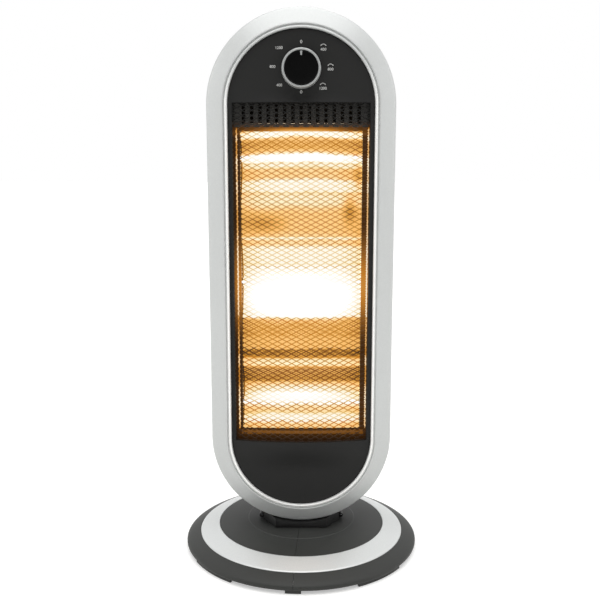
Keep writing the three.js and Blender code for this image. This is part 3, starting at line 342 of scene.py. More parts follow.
silver = silver_lacquer("silver_lacquer", "#dadcdb", 0.42)
ring_line = softened([(101.8, 26.5, 0.3), (103, 26.9, 0.8), (123.8, 19.5, 0.8), (125, 18.7, 0.4),
                      (125, 17.2, 0.2), (101.8, 24.9, 0.2)])
build("silver_base_ring", spun(lathed(ring_line, 180), BASE_TURN), silver, "base",
      ["base_trim_ring"])

# ---- Steel pieces in the base ----
# Two screws cross the seam and draw the halves together. The hollow spindle, its retaining ring,
# and the yoke plate with its lock ring are zinc-plated steel, turned or stamped.


def dress(look, *names):
    """Gives CAD nodes that stay as they are a material."""
    for name in names:
        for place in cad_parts[name].material_slots:
            place.material = look


def plated(name, dark, light, roughness):
    """Bright metal, plated or turned: its colour mixes two tones by noise of 6 mm, and its
    roughness varies by 0.08 with fine marks, 0.8 mm apart and drawn out along X."""
    made, tree, shader, place = start_material(name, {"Metallic": 1.0})
    cloud = add(tree, "ShaderNodeTexNoise", {"Vector": place, "Scale": 1 / 6, "Detail": 5.0})
    tint = add(tree, "ShaderNodeMix", {0: cloud.outputs[0], 6: linear(dark), 7: linear(light)},
               data_type="RGBA")
    drawn = add(tree, "ShaderNodeMapping", {"Vector": place, "Scale": (0.05, 1, 1)})
    marks = add(tree, "ShaderNodeTexNoise", {"Vector": drawn.outputs[0], "Scale": 1 / 0.8})
    link_all(shader, Base_Color=tint.outputs[2],
             Roughness=Field(marks.outputs[0]) * 0.16 + (roughness - 0.08))
    return made


# Zinc-plated steel: bright grey, slightly clouded.
steel = plated("zinc_plated_steel", "#8c8f92", "#a9acae", 0.38)
dress(steel, "swivel_spindle", "spindle_retainer", "yoke_plate", "yoke_lock_ring")


def cross_screw(name, node, axis, at, head, shank, length, body, turn=0.0):
    """A pan-head screw along an axis: a low dome of the head's radius with a cross cut into it, and
    a plain shank. `at` is the middle of the head's back, and length is signed."""
    way = math.copysign(1, length)
    line = softened([(0, -0.7 * head * way, head), (head * 0.75, -0.6 * head * way, head),
                     (head, 0, 0.1), (shank, 0, 0.1), (shank, length, 0.2), (0, length, 0)], steps=5)
    screw = build(name, spun(moved(lathed(line, 32, axis), at), turn), steel, body, [node])
    square = np.array([(-1, -1), (1, -1), (1, 1), (-1, 1)]) * head
    bars = [plate(square * half, (-1.5 * head * way, -0.28 * head * way), axis)
            for half in ((0.55, 0.12), (0.12, 0.55))]
    return carved(screw, *(spun(moved(bar, at), turn) for bar in bars))


for end, y in (("front", -96), ("rear", 96)):
    cross_screw(f"seam_screw_{end}", f"base_seam_screw_{end}", 0, (3, y, 17), 3.4, 1.5, -9.5, "base",
                BASE_TURN)

# ---- Tip-over switch ----
# A nylon pin stands out under the base and is pushed up by the floor against a spring. If the
# heater tips, the pin drops and the microswitch beside it opens.

# Natural nylon: milky white, smooth from the mould. Black PBT: a dark, slightly glossy moulding.
nylon = moulded("natural_nylon", "#cfcfc6", "#dcdcd4", 0.5, 0.4, 2.0, 0.01)
black_pbt = moulded("black_pbt", "#161616", "#1e1e1e", 0.45, 0.4, 1.5, 0.01)
dress(nylon, "tip_plunger", "tip_switch_guide", "swivel_bearing_ring")
dress(steel, "tip_spring")
dress(black_pbt, "tip_microswitch")

# ---- Neck ----
# The head's foot is an eight-sided block of black ABS whose top cradles the head. It turns over
# the base. Two screws in small round ears hold it to the head's shell.

EAR_X, EAR_FACE_Y, EAR_Z = 49.0, -8.1, 36.6

# Satin black ABS: a little smoother than the base.
neck_plastic = moulded("satin_abs_neck", "#131313", "#1b1b1b", 0.42, 0.3, 1.2, 0.02)


def copied(node, name, look, body, bevel):
    """A copy of a CAD node with its flat faces joined and its edges rounded by the bevel, in mm."""
    work = bmesh.new()
    work.from_mesh(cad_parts[node].data)
    bmesh.ops.remove_doubles(work, verts=work.verts, dist=0.01 * MM)
    bmesh.ops.dissolve_limit(work, angle_limit=math.radians(2), verts=work.verts, edges=work.edges)
    mesh = bpy.data.meshes.new(name)
    work.to_mesh(mesh)
    work.free()
    mesh.materials.append(look)
    mesh.shade_smooth()
    made = bpy.data.objects.new(name, mesh)
    bpy.context.scene.collection.objects.link(made)
    edge = made.modifiers.new("edge", "BEVEL")
    edge.width, edge.segments, edge.limit_method = bevel * MM, 3, "ANGLE"
    edge.angle_limit, edge.harden_normals = math.radians(25), True
    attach(made, body)
    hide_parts(node)
    return made


copied("neck", "neck_block", neck_plastic, "head", 0.7)
for side, sign in (("left", -1), ("right", 1)):
    cross_screw(f"ear_screw_{side}", f"neck_screw_{side}", 1, (sign * EAR_X, EAR_FACE_Y, EAR_Z),
                1.6, 0.8, 6, "head")

# ---- Rear shell ----
# The back of the head is one deep moulding in dark ABS with a fine grain. Two groups of louvres in
# the flat back let the heat out, and a pocket at the top, moulded with it, is the hand grip.

TOP_CENTRE_Z, BOTTOM_CENTRE_Z = 534.2, 146.9          # the centres of the pill's round ends
GRIP_HALF_X, GRIP_CORNER_R, GRIP_WALL = 42.0, 7.0, 2.2
GRIP_LINE = [(27, 572, 5), (60, 572, 0), (60, 600, 0), (46, 600, 2), (27, 607, 5)]   # the roof rises
LOUVRES = ((428, 7, 52), (184, 6, 46))                # lowest slot, how many, half their width
LOUVRE_PITCH, LOUVRE_HIGH = 12, 5
SPINDLE_HOLE_R = 20.5


def pill_ring(line, sides):
    """A line of [half-width r, depth y] carried round the head's pill outline: a point is
    C + r (cos a, sin a), with C the upper centre for a from 0 to 180 and the lower one after."""
    r, y = np.asarray(line, float).T[:, :, None]
    up = np.radians(np.linspace(0, 180, sides + 1))
    side = np.linspace(0, 1, 7)[1:-1]
    a = np.concatenate([up, np.full(5, np.pi), up + np.pi, np.full(5, 2 * np.pi)])[None, :]
    tall = TOP_CENTRE_Z - BOTTOM_CENTRE_Z
    centre = np.concatenate([np.full(sides + 1, TOP_CENTRE_Z), TOP_CENTRE_Z - tall * side,
                             np.full(sides + 1, BOTTOM_CENTRE_Z), BOTTOM_CENTRE_Z + tall * side])
    return np.stack([r * np.cos(a), y + 0 * a, centre + r * np.sin(a)], axis=-1)


def pocket_shape(grow, mouth):
    """The grip pocket grown on all sides, cut off at a depth for its mouth. Towards its ends the
    height shrinks by R - sqrt(R^2 - e^2), with e the distance into a corner of radius R = 7 mm."""
    y, z = softened(GRIP_LINE, steps=5).T
    middle = z.mean()
    y, z = np.clip(y - grow, None, mouth), z + grow * np.sign(z - middle)
    reach = GRIP_HALF_X + grow
    into = np.linspace(0, 1, 7) ** 2 * GRIP_CORNER_R
    x = np.concatenate([-reach + into, (reach - into)[::-1]])
    e = GRIP_CORNER_R - np.concatenate([into, into[::-1]])
    shrink = 1 - (GRIP_CORNER_R - np.sqrt(GRIP_CORNER_R ** 2 - e ** 2)) / np.ptp(z) * 2
    z = middle + (z - middle)[:, None] * shrink[None, :]
    return skin(np.stack([x[None, :] + 0 * z, y[:, None] + 0 * z, z], axis=-1), closed_columns=False)


# Grained black ABS: matt, with the finest grain of the mouldings.
shell_plastic = moulded("grained_abs_shell", "#222222", "#2b2b2b", 0.55, 0.35, 1.0, 0.03)
shell_line = softened([
    (80, 50, 0), (84, 50, 10), (96, 43, 12), (103, 30, 16), (105.2, 10, 20), (106.2, -23.5, 0.4),
    (103.8, -23.5, 0.3), (103.8, -31, 0.4), (101.2, -31, 0.4), (101.4, 8, 10), (99.4, 29, 10),
    (93, 41.2, 8), (82, 47.4, 6), (80, 47.4, 0)])
shell = build("rear_housing", skin(pill_ring(shell_line, 56).transpose(1, 0, 2), closed_columns=False),
              shell_plastic, "head", ["rear_shell"], crease=30)
slots = []
for lowest, count, half in LOUVRES:
    for z in lowest + LOUVRE_PITCH * np.arange(count):
        slot = [(z, -half), (z, half), (z + LOUVRE_HIGH, half), (z + LOUVRE_HIGH, -half)]
        slots.append(plate(softened(slot, 2.4, 5), (40, 60), 1))
foot_cut = plate([(-60, -60), (60, -60), (60, 60), (-60, 60)], (20, 41.2), 2)
grip = pocket_shape(0, 60)
carved(shell, together(*slots), foot_cut, round_bar(SPINDLE_HOLE_R, 45, 60), grip, crease=30)
walls = build("hand_grip_pocket", pocket_shape(GRIP_WALL, 48.2), shell_plastic, "head", (),
              crease=30)
carved(walls, grip, crease=30)

# ---- Oscillation drive ----
# A synchronous motor hangs on a steel bracket over the spindle. Its crank carries a brass roller
# in the slot of the yoke plate, which swings the head from side to side.

dress(steel, "motor_bracket", "oscillation_motor")
dress(nylon, "crank_disc")
# Turned brass: yellow and bright, with fine tool marks.
brass = plated("turned_brass", "#a98a4a", "#c2a35e", 0.32)
dress(brass, "crank_roller", "switch_spindle")

# ---- Heat shield, wiring and switch behind the reflector and the panel ----
# A galvanised steel box keeps the heat off the housing. The thermal cut-out and the terminal block
# are fixed to its back, and the rotary switch sits behind the knob.

# Hot-dip galvanised sheet: duller and more clouded than the plated pieces.
galvanised = plated("galvanised_sheet", "#85888a", "#a5a7a8", 0.42)
dress(galvanised, "heat_shield", "cap_rail_left", "cap_rail_right")
dress(black_pbt, "thermal_cutout", "rotary_switch")
dress(nylon, "terminal_block")

# ---- Reflector ----
# Polished aluminium sheet is pressed into a trough behind each tube, with end plates at both sides.
# The bands of white, cream and orange light that it throws back from the lit tubes are painted on it, as a
# glow it gives off.

OPENING_X, OPENING_LOW, OPENING_HIGH = 70.0, 152.7, 505.3
PLATE_X = 71.3
SHEET = 1.2
TROUGH_Y = 25.0
TUBE_Z = {"top": 475.0, "middle": 327.0, "bottom": 179.0}

# Painted light on the reflector, from the foot of its mouth upwards. Each tube is a white bar, the polished
# trough repeats it above and below as a painted reflection, and the flanks between stay amber. A band
# is (low z, high z, soft edge, glow level), in mm, laid over those before it. Glow 0.3 is amber, 0.5
# orange, 0.8 cream.
PLAIN_GLOW = 0.55
BANDS = [
    (157, 163.5, 2, 0.92), (165, 169.5, 1.5, 0.60),                         # images in the foot
    (171, 187, 3, 0.90), (174, 180, 2, 1.05), (187, 194, 3, 0.72),          # lower tube, its bloom
    (199, 223, 3, 0.28), (224.5, 235, 1, 0.67), (236.5, 248, 1, 0.25),      # flank, ridge, flank
    (248, 284, 2, 0.42), (286, 346, 1.5, 0.98), (346, 371, 4, 0.88),        # flank, middle tube
    (374, 379.5, 2, 0.57), (380.2, 382.8, 0.8, 0.80), (387, 414, 3, 0.49),  # upper ridge, flank
    (420, 434, 4, 0.72), (436, 450, 2.5, 0.90), (453, 461, 3, 0.54),        # images of two tubes
    (464, 470, 2.5, 0.82), (470.5, 480, 1.5, 1.10),                         # upper tube
    (484, 497.5, 2.5, 0.39), (500, 507, 1.5, 0.96)]                         # flank, lit lip
# Painted shade where the end plates show, and painted glares before the tubes: (x, z), (reach), strength.
SHADES = [((-45, 399), (44, 17), 0.42), ((57, 414), (13, 26), 0.5), ((68, 452), (9, 21), 0.35)]
GLARES = [((-24, 310), (74, 37), 0.6), ((24, 310), (74, 37), 0.6), ((0, 476.5), (95, 7), 0.4),
          ((-4, 184), (82, 12), 0.3)]
LEFT_BAR_X = -72.2          # the reflector's side edge, beside which the left bar's shadow is painted
GLOW_TOP = 1.25             # glow level at the last colour of a ramp


def fields(place):
    """The x, y and z of a place."""
    return [Field(part) for part in add(place.id_data, "ShaderNodeSeparateXYZ", {0: place}).outputs]


def between(value, start, end, first=0.0, last=1.0):
    """Goes smoothly from the first number to the last as the value goes from start to end."""
    return Field(add(value.socket.id_data, "ShaderNodeMapRange", {
        "Value": value, "From Min": start, "From Max": end, "To Min": first, "To Max": last},
        interpolation_type="SMOOTHSTEP").outputs[0])


def near(value, middle, outer, inner, first=0.0, last=1.0):
    """Goes smoothly from the first number to the last as the value comes from outer to inner mm
    off the middle."""
    return between(abs(value - middle), outer, inner, first, last)


def spot(place, middle, reach):
    """1 in the middle (x, z) of an ellipse, falling smoothly to 0 at its reach, in mm. Its reach
    along Y is so long that y makes no difference."""
    tree = place.id_data
    off = add(tree, "ShaderNodeMapping", {
        "Vector": place, "Location": (middle[0], 0, middle[1]), "Scale": (reach[0], 1e6, reach[1])},
        vector_type="TEXTURE")
    away = add(tree, "ShaderNodeVectorMath", {0: off.outputs[0]}, operation="LENGTH")
    return between(Field(away.outputs["Value"]), 1.0, 0.0)


def painted_glow_field(place):
    """Painted glow over the reflector, for the tubes' light on it: the bands by height, arched down by up
    to
    4 mm (x / 70 mm)^2 in the upper part and broken by waves along the sheet, times 1 - 0.24 (x / 70 mm)^4,
    with painted shade where the end plates show in it, and lifted to a painted glare in front of each tube.
    The left bar's shadow is painted as a line 4 mm wide beside it."""
    tree = place.id_data
    x, _, z = fields(place)
    aside = (abs(x) / OPENING_X) ** 2.0
    waves = add(tree, "ShaderNodeMapping", {"Vector": place, "Scale": (1 / 30, 0, 1 / 6)}).outputs[0]
    wavy = Field(add(tree, "ShaderNodeTexNoise", {"Vector": waves, "Scale": 1.0, "Detail": 2.0}).outputs[0])
    level = aside * between(z, 380, 500, 0.0, 4.0) + z + (wavy - 0.5) * 5
    glow_level = PLAIN_GLOW
    for low, high, soft, inside in BANDS:
        half = (high - low) / 2
        share = near(level, low + half, half + soft, half - soft)
        glow_level = add(tree, "ShaderNodeMix", {0: share, 2: glow_level, 3: inside}).outputs[0]
    glow_level = Field(glow_level) * (aside * aside * -0.24 + 1)
    for middle, reach, depth in SHADES:
        glow_level = glow_level * (spot(place, middle, reach) * -depth + 1)
    glow_level = glow_level * (wavy * 0.16 + 0.92)
    for middle, reach, gain in GLARES:
        glow_level = spot(place, middle, reach) * gain + glow_level
    return glow_level * near(x, LEFT_BAR_X, 1.6, 2.5, 0.14, 1.0)


def seen_through(place, wide, tall, lift):
    """The place on the reflector that lies behind one nearer the front: x times wide, and z times
    tall plus the lift in mm."""
    return add(place.id_data, "ShaderNodeMapping", {
        "Vector": place, "Scale": (wide, 1, tall), "Location": (0, 0, lift)}).outputs[0]


def glow_colour(glow_level, colours):
    """Colour by glow level, over stops given as (glow level, sRGB hex), of which the last is at the top of
    the ramp.
    """
    ramp = add(glow_level.socket.id_data, "ShaderNodeValToRGB", {"Fac": glow_level / GLOW_TOP})
    stops = ramp.color_ramp.elements
    for k, (at, code) in enumerate([colours[0], colours[-1], *colours[1:-1]]):
        stop = stops[k] if k < 2 else stops.new(at / GLOW_TOP)
        stop.position, stop.color = at / GLOW_TOP, linear(code)
    return ramp.outputs[0]


def mirrored_guard(place):
    """The guard's painted reflection in the polished flanks: 1 on lines where |sin| of pi (x / 6.3 +- z /
    3.4) is small, with x and z in mm, and 0 between them and on the lit parts of the sheet."""
    x, _, z = fields(place)
    across, up = x * (math.pi / 6.3), z * (math.pi / 3.4)
    rising, falling = (abs(slant.maths("SINE")) for slant in (across + up, across - up))
    where = 0.0
    for low, high in ((197, 225), (236, 250), (260, 286), (484, 498)):
        half = (high - low) / 2
        where = near(z, low + half, half, half - 5).maths("MAXIMUM", where)
    return between(rising.maths("MINIMUM", falling), 0.55, 0.1) * where


def lit_reflector():
    """Polished aluminium with the tubes' light on it painted. Beside that light its reflection of the room
    is faint, so its own colour is dark, and it gives off the painted glow's colour, dimmed along the
    guard's painted reflection, at double strength where it glares."""
    made, tree, shader, place = start_material("lit_aluminium_reflector", {
        "Metallic": 1.0, "Base Color": linear("#2b2118"), "Roughness": 0.3})
    glow_level = mirrored_guard(place) * -0.2 + painted_glow_field(place)
    colour = glow_colour(glow_level, [
        (0.0, "#2c1604"), (0.2, "#cc8b30"), (0.3, "#e6ab56"), (0.4, "#f8c070"), (0.5, "#fdd38e"),
        (0.65, "#feeabc"), (0.8, "#fef6e0"), (1.0, "#fffefa"), (GLOW_TOP, "#ffffff")])
    link_all(shader, Emission_Color=colour, Emission_Strength=between(glow_level, 1.0, 1.6, 1.0, 2.0))
    return made


def trough(low, high, low_y, high_y):
    """The sheet's line (y, z) from one rim to the next: between the rims' depth and 25 mm it goes
    by 1 - (2 t - 1)^2, with t the share of the height."""
    t = np.linspace(0, 1, 33)
    rim = low_y + (high_y - low_y) * t
    return np.column_stack([rim + (TROUGH_Y - rim) * (1 - (2 * t - 1) ** 2), low + (high - low) * t])


reflector_look = lit_reflector()
front = np.concatenate([trough(OPENING_LOW, 231, -18.4, -6.0), trough(283, 380, -6.0, -6.0),
                        trough(427, OPENING_HIGH, -6.0, -18.4)])
outline = np.concatenate([front, front[::-1] + (SHEET, 0)])
STATIONS = np.linspace(-PLATE_X + 0.3, PLATE_X - 0.3, 5)
pressed = build("pressed_reflector", plate(outline, STATIONS, 0), reflector_look, "head",
                ["reflector_pan"])
dress(reflector_look, "reflector_end_left", "reflector_end_right")
# The back of the sheet is the same aluminium, unlit and dulled by the heat.
dulled = moulded("dulled_aluminium_back", "#3a3733", "#47433e", 0.5, 0.3, 1.0, 0.01)
pressed.data.materials.append(dulled)
for face in pressed.data.polygons:
    face.material_index = int(min(face.vertices) // len(STATIONS) >= len(front))

# ---- Frame round the reflector's mouth ----
# Four flat bars of sheet steel in heat-proof black enamel, mitred at the corners, lie round the
# mouth. Below it the foot goes on as a flange with a folded hem, behind the window's lower edge.

MOUTH_X = 1.5               # the middle of the lit mouth
STRIP_X = 75.3              # the bright strips, to either side of that


def bar_light(place):
    """The colour of the painted light on the bars round the mouth. Their slopes are brown, up to gold
    beside the middle tube. A strip 1.5 mm wide just outside the side bars is painted bright where light
    slips past them. The painted light of the mouth fades out over the head bar, and a thin painted glint
    lies on the foot. Above 519 mm and below 126 mm it is dark."""
    glow_level = painted_glow_field(seen_through(place, 1.02, 1.03, -14.0))
    x, _, z = fields(place)
    aside = abs(x - MOUTH_X)
    drift = Field(add(place.id_data, "ShaderNodeTexNoise", {
        "Vector": place, "Scale": 1 / 60, "Detail": 2.0}).outputs[0])
    leak = (glow_level * 1.5 + 0.2) * (drift * 1.2 + 0.4) * (x * (0.2 / 75) + 1.05)
    leak = leak * between(z, 152, 156) * between(z, 512, 506) * near(aside, STRIP_X, 1.25, 0.35)
    slope = glow_level * 0.04 + (spot(place, (0, 328), (1000, 78)) * 0.34 + 0.08)
    slope = slope * between(aside, 86, 74)
    head = between(z, 513.5, 503, 0.0, 0.6) * between(aside, 72, 12, 0.12, 1.0) * between(z, 498, 503)
    glint = between(aside, 74, 72, 0.0, 0.12) * near(z, 148.8, 2.2, 1.2)
    level = leak.maths("MAXIMUM", slope + head + glint)
    return glow_colour(level * between(z, 126, 152) * between(z, 519, 511), [
        (0.0, "#000000"), (0.06, "#2a1706"), (0.12, "#4a2c0c"), (0.2, "#6e4414"), (0.3, "#905b1e"),
        (0.42, "#be7a26"), (0.55, "#dca054"), (0.7, "#f3c486"), (GLOW_TOP, "#fff3d8")])


def painted_light_enamel():
    """Black enamel, semi-matt, that gives off the painted light on the bars."""
    made, tree, shader, place = start_material("black_enamel_painted_light", {
        "Base Color": linear("#080605"), "Roughness": 0.5, "Specular IOR Level": 0.1,
        "Emission Strength": 1.0})
    link_all(shader, Emission_Color=bar_light(place))
    return made


enamel_bars = painted_light_enamel()
dress(enamel_bars, "reflector_frame")
hem = softened([(-24.6, 145.1, 0.2), (-24.6, 135.6, 0.8), (-27, 134, 0.2), (-27, 133.2, 0.3),
                (-24, 135.2, 0.8), (-24, 145.1, 0.2)], steps=4)
build("frame_foot_flange", plate(hem, (-77.2, 77.2), 0), enamel_bars, "head", ())

# ---- Quartz tubes ----
# Each heating tube is a clear quartz sleeve round a coiled tungsten wire, plugged into a white
# ceramic cap at both ends. Lit, the sleeve shows as a white-hot bar.

TUBE_Y, TUBE_HALF = 10.0, 84.0
COIL_R, WIRE_R, COIL_PITCH, COIL_HALF = 0.72, 0.17, 0.9, 83.0


def hot_quartz():
    """Quartz full of light. Round its axis it is white, the tube's own glow, for a height of +- t, with
    t = 4.4 (1 - 0.5 (x / 84 mm)^2) mm; beyond that it gives off the reflector's painted glow, as if seen
    through it. The tubes are 148 mm apart."""
    made, tree, shader, place = start_material("white_hot_quartz", {
        "Base Color": linear("#14110c"), "Roughness": 0.15, "IOR": 1.458, "Specular IOR Level": 0.2,
        "Emission Strength": 1.0})
    x, _, z = fields(place)
    apart = TUBE_Z["top"] - TUBE_Z["middle"]
    off_axis = abs((z - (TUBE_Z["bottom"] - apart / 2)) % apart - apart / 2)
    reach = (abs(x) / TUBE_HALF) ** 2.0 * -2.2 + 4.4
    core = between(off_axis, reach, reach * 0.35)
    level = add(tree, "ShaderNodeMix", {0: core, 2: painted_glow_field(place), 3: GLOW_TOP}).outputs[0]
    link_all(shader, Emission_Color=glow_colour(Field(level), [
        (0.0, "#2c1604"), (0.3, "#e4ab67"), (0.5, "#fdd396"), (0.65, "#feeac0"), (0.8, "#fef6e1"),
        (1.0, "#fffefa"), (GLOW_TOP, "#ffffff")]))
    return made


def glowing_wire():
    """Tungsten wire at white heat, brighter and dimmer along the coil in waves of 4 x 2 pi / 20,
    which is 1.3 mm: a wave texture has 20 radians for each unit."""
    made, tree, shader, place = start_material("glowing_tungsten", {
        "Base Color": linear("#ffb45a"), "Metallic": 1.0, "Roughness": 0.4,
        "Emission Color": linear("#ffd890")})
    waves = add(tree, "ShaderNodeTexWave", {"Vector": place, "Scale": 1 / 4})
    link_all(shader, Emission_Strength=Field(waves.outputs[1]) * 2 + 5)
    return made


def wire_coil():
    """The wire of radius w wound on radius c about X: a point is at x = pitch s / 2 pi + w sin b,
    and off the axis by c + w cos b, at the angle s that grows along the wire."""
    turns = 2 * COIL_HALF / COIL_PITCH
    s = np.linspace(0, 2 * np.pi * turns, int(turns * 9))[None, :]
    b = np.radians(whole(5))[:, None]
    off = COIL_R + WIRE_R * np.cos(b)
    along = (s / (2 * np.pi)) * COIL_PITCH - COIL_HALF + WIRE_R * np.sin(b)
    return skin(np.stack([along, off * np.cos(s), off * np.sin(s)], axis=-1), closed_columns=False)


# Fired steatite ceramic: off-white and matt, with fine pores.
ceramic = moulded("white_steatite", "#ded9cd", "#ebe7dc", 0.7, 0.3, 0.8, 0.02)
quartz, tungsten = hot_quartz(), glowing_wire()
sleeve_wall = [(3.9, -TUBE_HALF), (5, -TUBE_HALF), (5, TUBE_HALF), (3.9, TUBE_HALF)]
sleeve, coil = lathed(softened(sleeve_wall, 0.3, 4), 40, 0), wire_coil()
for level, z in TUBE_Z.items():
    build(f"quartz_sleeve_{level}", moved(sleeve, (0, TUBE_Y, z)), quartz, "head",
          [f"quartz_tube_{level}"])
    build(f"tungsten_coil_{level}", moved(coil, (0, TUBE_Y, z)), tungsten, "head",
          [f"filament_{level}"])
    dress(ceramic, f"tube_cap_{level}_left", f"tube_cap_{level}_right")

# ---- Vent plate and the light below its slots ----
# A black sheet-steel plate with fifteen upright slots closes the space above the reflector. The
# reflector's turned-up lip stands behind the slots, with the light of the upper tube painted on it.

# Satin black paint on steel: even and smooth, with a faint orange-peel.
satin_black = moulded("satin_black_paint_on_steel", "#393937", "#454441", 0.5, 0.3, 1.4, 0.015)
dress(satin_black, "vent_plate")


def lit_lip():
    """Polished aluminium lip with painted light: cream in the middle, gone 59 mm out, in uneven spots."""
    made, tree, shader, place = start_material("lit_aluminium_lip", {
        "Metallic": 1.0, "Base Color": linear("#8d8272"), "Roughness": 0.3,
        "Emission Color": linear("#ffe9c6")})
    fade = add(tree, "ShaderNodeMapRange", {"Value": abs(fields(place)[0]), "From Min": 30.0,
                                            "From Max": 59.0, "To Min": 3.4, "To Max": 0.0})
    spots = add(tree, "ShaderNodeTexNoise", {"Vector": place, "Scale": 1 / 9})
    link_all(shader, Emission_Strength=Field(fade.outputs[0]) * spots.outputs[0])
    return made


lip_line = softened([(-24.6, 512.6), (-24, 512.6), (-24, 514.3), (-24.6, 514.3)], 0.2, 3)
build("reflector_lip", plate(lip_line, (-60, 60), 0), lit_lip(), "head", ())

# ---- Guard grille ----
# The guard is one sheet of expanded steel in black enamel, slit and drawn into diamonds of 11 by
# 5.8 mm, then bowed forward with the panel. Near the tubes a warm glow is painted on its strands.

PANEL_R, PANEL_Y, PANEL_BOW, PANEL_THICK = 82.4, -40.5, 11.0, 2.5
WINDOW_X, WINDOW_LOW, WINDOW_HIGH = 77.2, 145.0, 537.0
GUARD_DEPTH = PANEL_THICK + 1.1               # the middle of its sheet, behind the panel's face
COLUMNS, ROWS, STRAND, GUARD_THICK = 14, 68, 0.85, 0.9
RIM_OUT, RIM_IN = 2.4, 0.9                    # the plain border, outside and inside the window


def smooth_step(value, low, high):
    """3 s^2 - 2 s^3, with s the share of the way from low to high."""
    s = np.clip((value - low) / (high - low), 0, 1)
    return s * s * (3 - 2 * s)


def panel_face(x, z):
    """Depth of the panel's face: flat at its round ends, and standing forward round the window by
    11 (1 - (x / 82.4)^2)."""
    share = smooth_step(z, 104, WINDOW_LOW) * (1 - smooth_step(z, 508, 552))
    return PANEL_Y - PANEL_BOW * (1 - (x / PANEL_R) ** 2) * share


def diamond_lattice():
    """The expanded sheet laid flat as (x, z) corners and faces. Diamond (i, j) has its centre at
    (-X + i w / 2, Z + j h / 2) where i + j is even, and keeps 1 - strand / d of the cell, with d
    the distance between slant sides. Strands join diamonds, and small plates fill the crossings."""
    wide, tall = 2 * WINDOW_X / COLUMNS, (WINDOW_HIGH - WINDOW_LOW) / ROWS
    open_share = 1 - STRAND / (wide * tall / (2 * math.hypot(wide / 2, tall / 2)))
    i, j = np.meshgrid(np.arange(2 * COLUMNS + 1), np.arange(2 * ROWS + 1), indexing="ij")
    x, z = -WINDOW_X + i * wide / 2, WINDOW_LOW + j * tall / 2
    a, b = open_share * wide / 2, open_share * tall / 2
    corners = np.stack([(x - a, z), (x + a, z), (x, z - b), (x, z + b)]).transpose(2, 3, 0, 1)
    corners = np.clip(corners, (-WINDOW_X, WINDOW_LOW), (WINDOW_X, WINDOW_HIGH))
    number = np.arange(corners.shape[0] * corners.shape[1] * 4).reshape(corners.shape[:3])
    left, right, down, up = (number[..., k] for k in range(4))
    even = (i + j) % 2 == 0
    rising = np.stack([right[:-1, :-1], down[1:, 1:], left[1:, 1:], up[:-1, :-1]], -1)
    falling = np.stack([down[:-1, 1:], left[1:, :-1], up[1:, :-1], right[:-1, 1:]], -1)
    plates = np.stack([right[:-2, 1:-1], up[1:-1, :-2], left[2:, 1:-1], down[1:-1, 2:]], -1)
    faces = [rising[even[:-1, :-1]], falling[even[:-1, 1:]], plates[~even[1:-1, 1:-1]]]
    return corners.reshape(-1, 2), np.concatenate(faces).tolist()


def flat_border():
    """A plain frame round the window, as (x, z) corners and faces: between two rectangles, each
    side in 48 steps."""
    steps = np.linspace(0, 1, 49)[:-1, None]
    loops = []
    for grow in (-RIM_IN, RIM_OUT):
        x, low, high = WINDOW_X + grow, WINDOW_LOW - grow, WINDOW_HIGH + grow
        corners = np.array([(-x, low), (x, low), (x, high), (-x, high)])
        sides = np.roll(corners, -1, axis=0) - corners
        loops.append((corners[:, None] + steps * sides[:, None]).reshape(-1, 2))
    return skin(np.stack(loops), closed_rows=False)


def bowed(shape, depth):
    """A flat shape of (x, z) corners, set at a depth behind the panel's face."""
    x, z = shape[0].T
    return np.column_stack([x, panel_face(x, z) + depth, z]), shape[1]


def solidified(piece, thick, bevel=0.0):
    """Gives a sheet its thickness, half to either side, and rounds its edges."""
    wall = piece.modifiers.new("wall", "SOLIDIFY")
    wall.thickness, wall.offset = thick * MM, 0.0
    if bevel:
        edge = piece.modifiers.new("edge", "BEVEL")
        edge.width, edge.segments, edge.limit_method = bevel * MM, 2, "ANGLE"
        edge.angle_limit, edge.harden_normals = math.radians(40), True
    return piece


def glowing_guard():
    """Black enamel with painted light from behind. In front of the reflector's mouth the strands give off
    a painted brown to gold that follows the painted glow behind them, found by scaling heights about 500 mm
    by 1.045, and by 1.067 in front of the lowest trough, which lies deeper. They drown in the painted glare
    beside the middle tube. In front of the bars round the mouth they take the bars' painted light, and in
    front of the vent plate they are greyer."""
    made, tree, shader, place = start_material("black_enamel_guard", {
        "Roughness": 0.5, "Specular IOR Level": 0.14, "Emission Strength": 1.0})
    specks = add(tree, "ShaderNodeTexNoise", {"Vector": place, "Scale": 1 / 3, "Detail": 3.0})
    black, grey = (add(tree, "ShaderNodeMix", {0: specks.outputs[0], 6: linear(dark), 7: linear(light)},
                       data_type="RGBA").outputs[2]
                   for dark, light in (("#090808", "#121110"), ("#181817", "#201f1e")))
    x, _, z = fields(place)
    enamel = add(tree, "ShaderNodeMix", {0: between(z, 508, 515), 6: black, 7: grey}, data_type="RGBA")
    behind = (z - 500) * near(z, 203, 32, 12, 1.045, 1.067) + 500
    glow_level = painted_glow_field(add(tree, "ShaderNodeCombineXYZ", {0: x * 1.05, 2: behind}).outputs[0])
    strand = glow_colour(glow_level, [
        (0.0, "#000000"), (0.2, "#4a2806"), (0.3, "#8e4e08"), (0.4, "#c07c1a"), (0.5, "#c87410"),
        (0.65, "#c08426"), (0.8, "#dcb260"), (1.0, "#f8e8c6"), (GLOW_TOP, "#ffffff")])
    on_bars = seen_through(place, 1.024, 1.024, -11.9)
    x, _, z = fields(on_bars)
    in_mouth = between(abs(x), 70.4, 69) * between(z, 152.6, 154.2) * between(z, 507.5, 505)
    colour = add(tree, "ShaderNodeMix", {0: in_mouth, 6: bar_light(on_bars), 7: strand},
                 data_type="RGBA")
    link_all(shader, Base_Color=enamel.outputs[2], Emission_Color=colour.outputs[2])
    return made


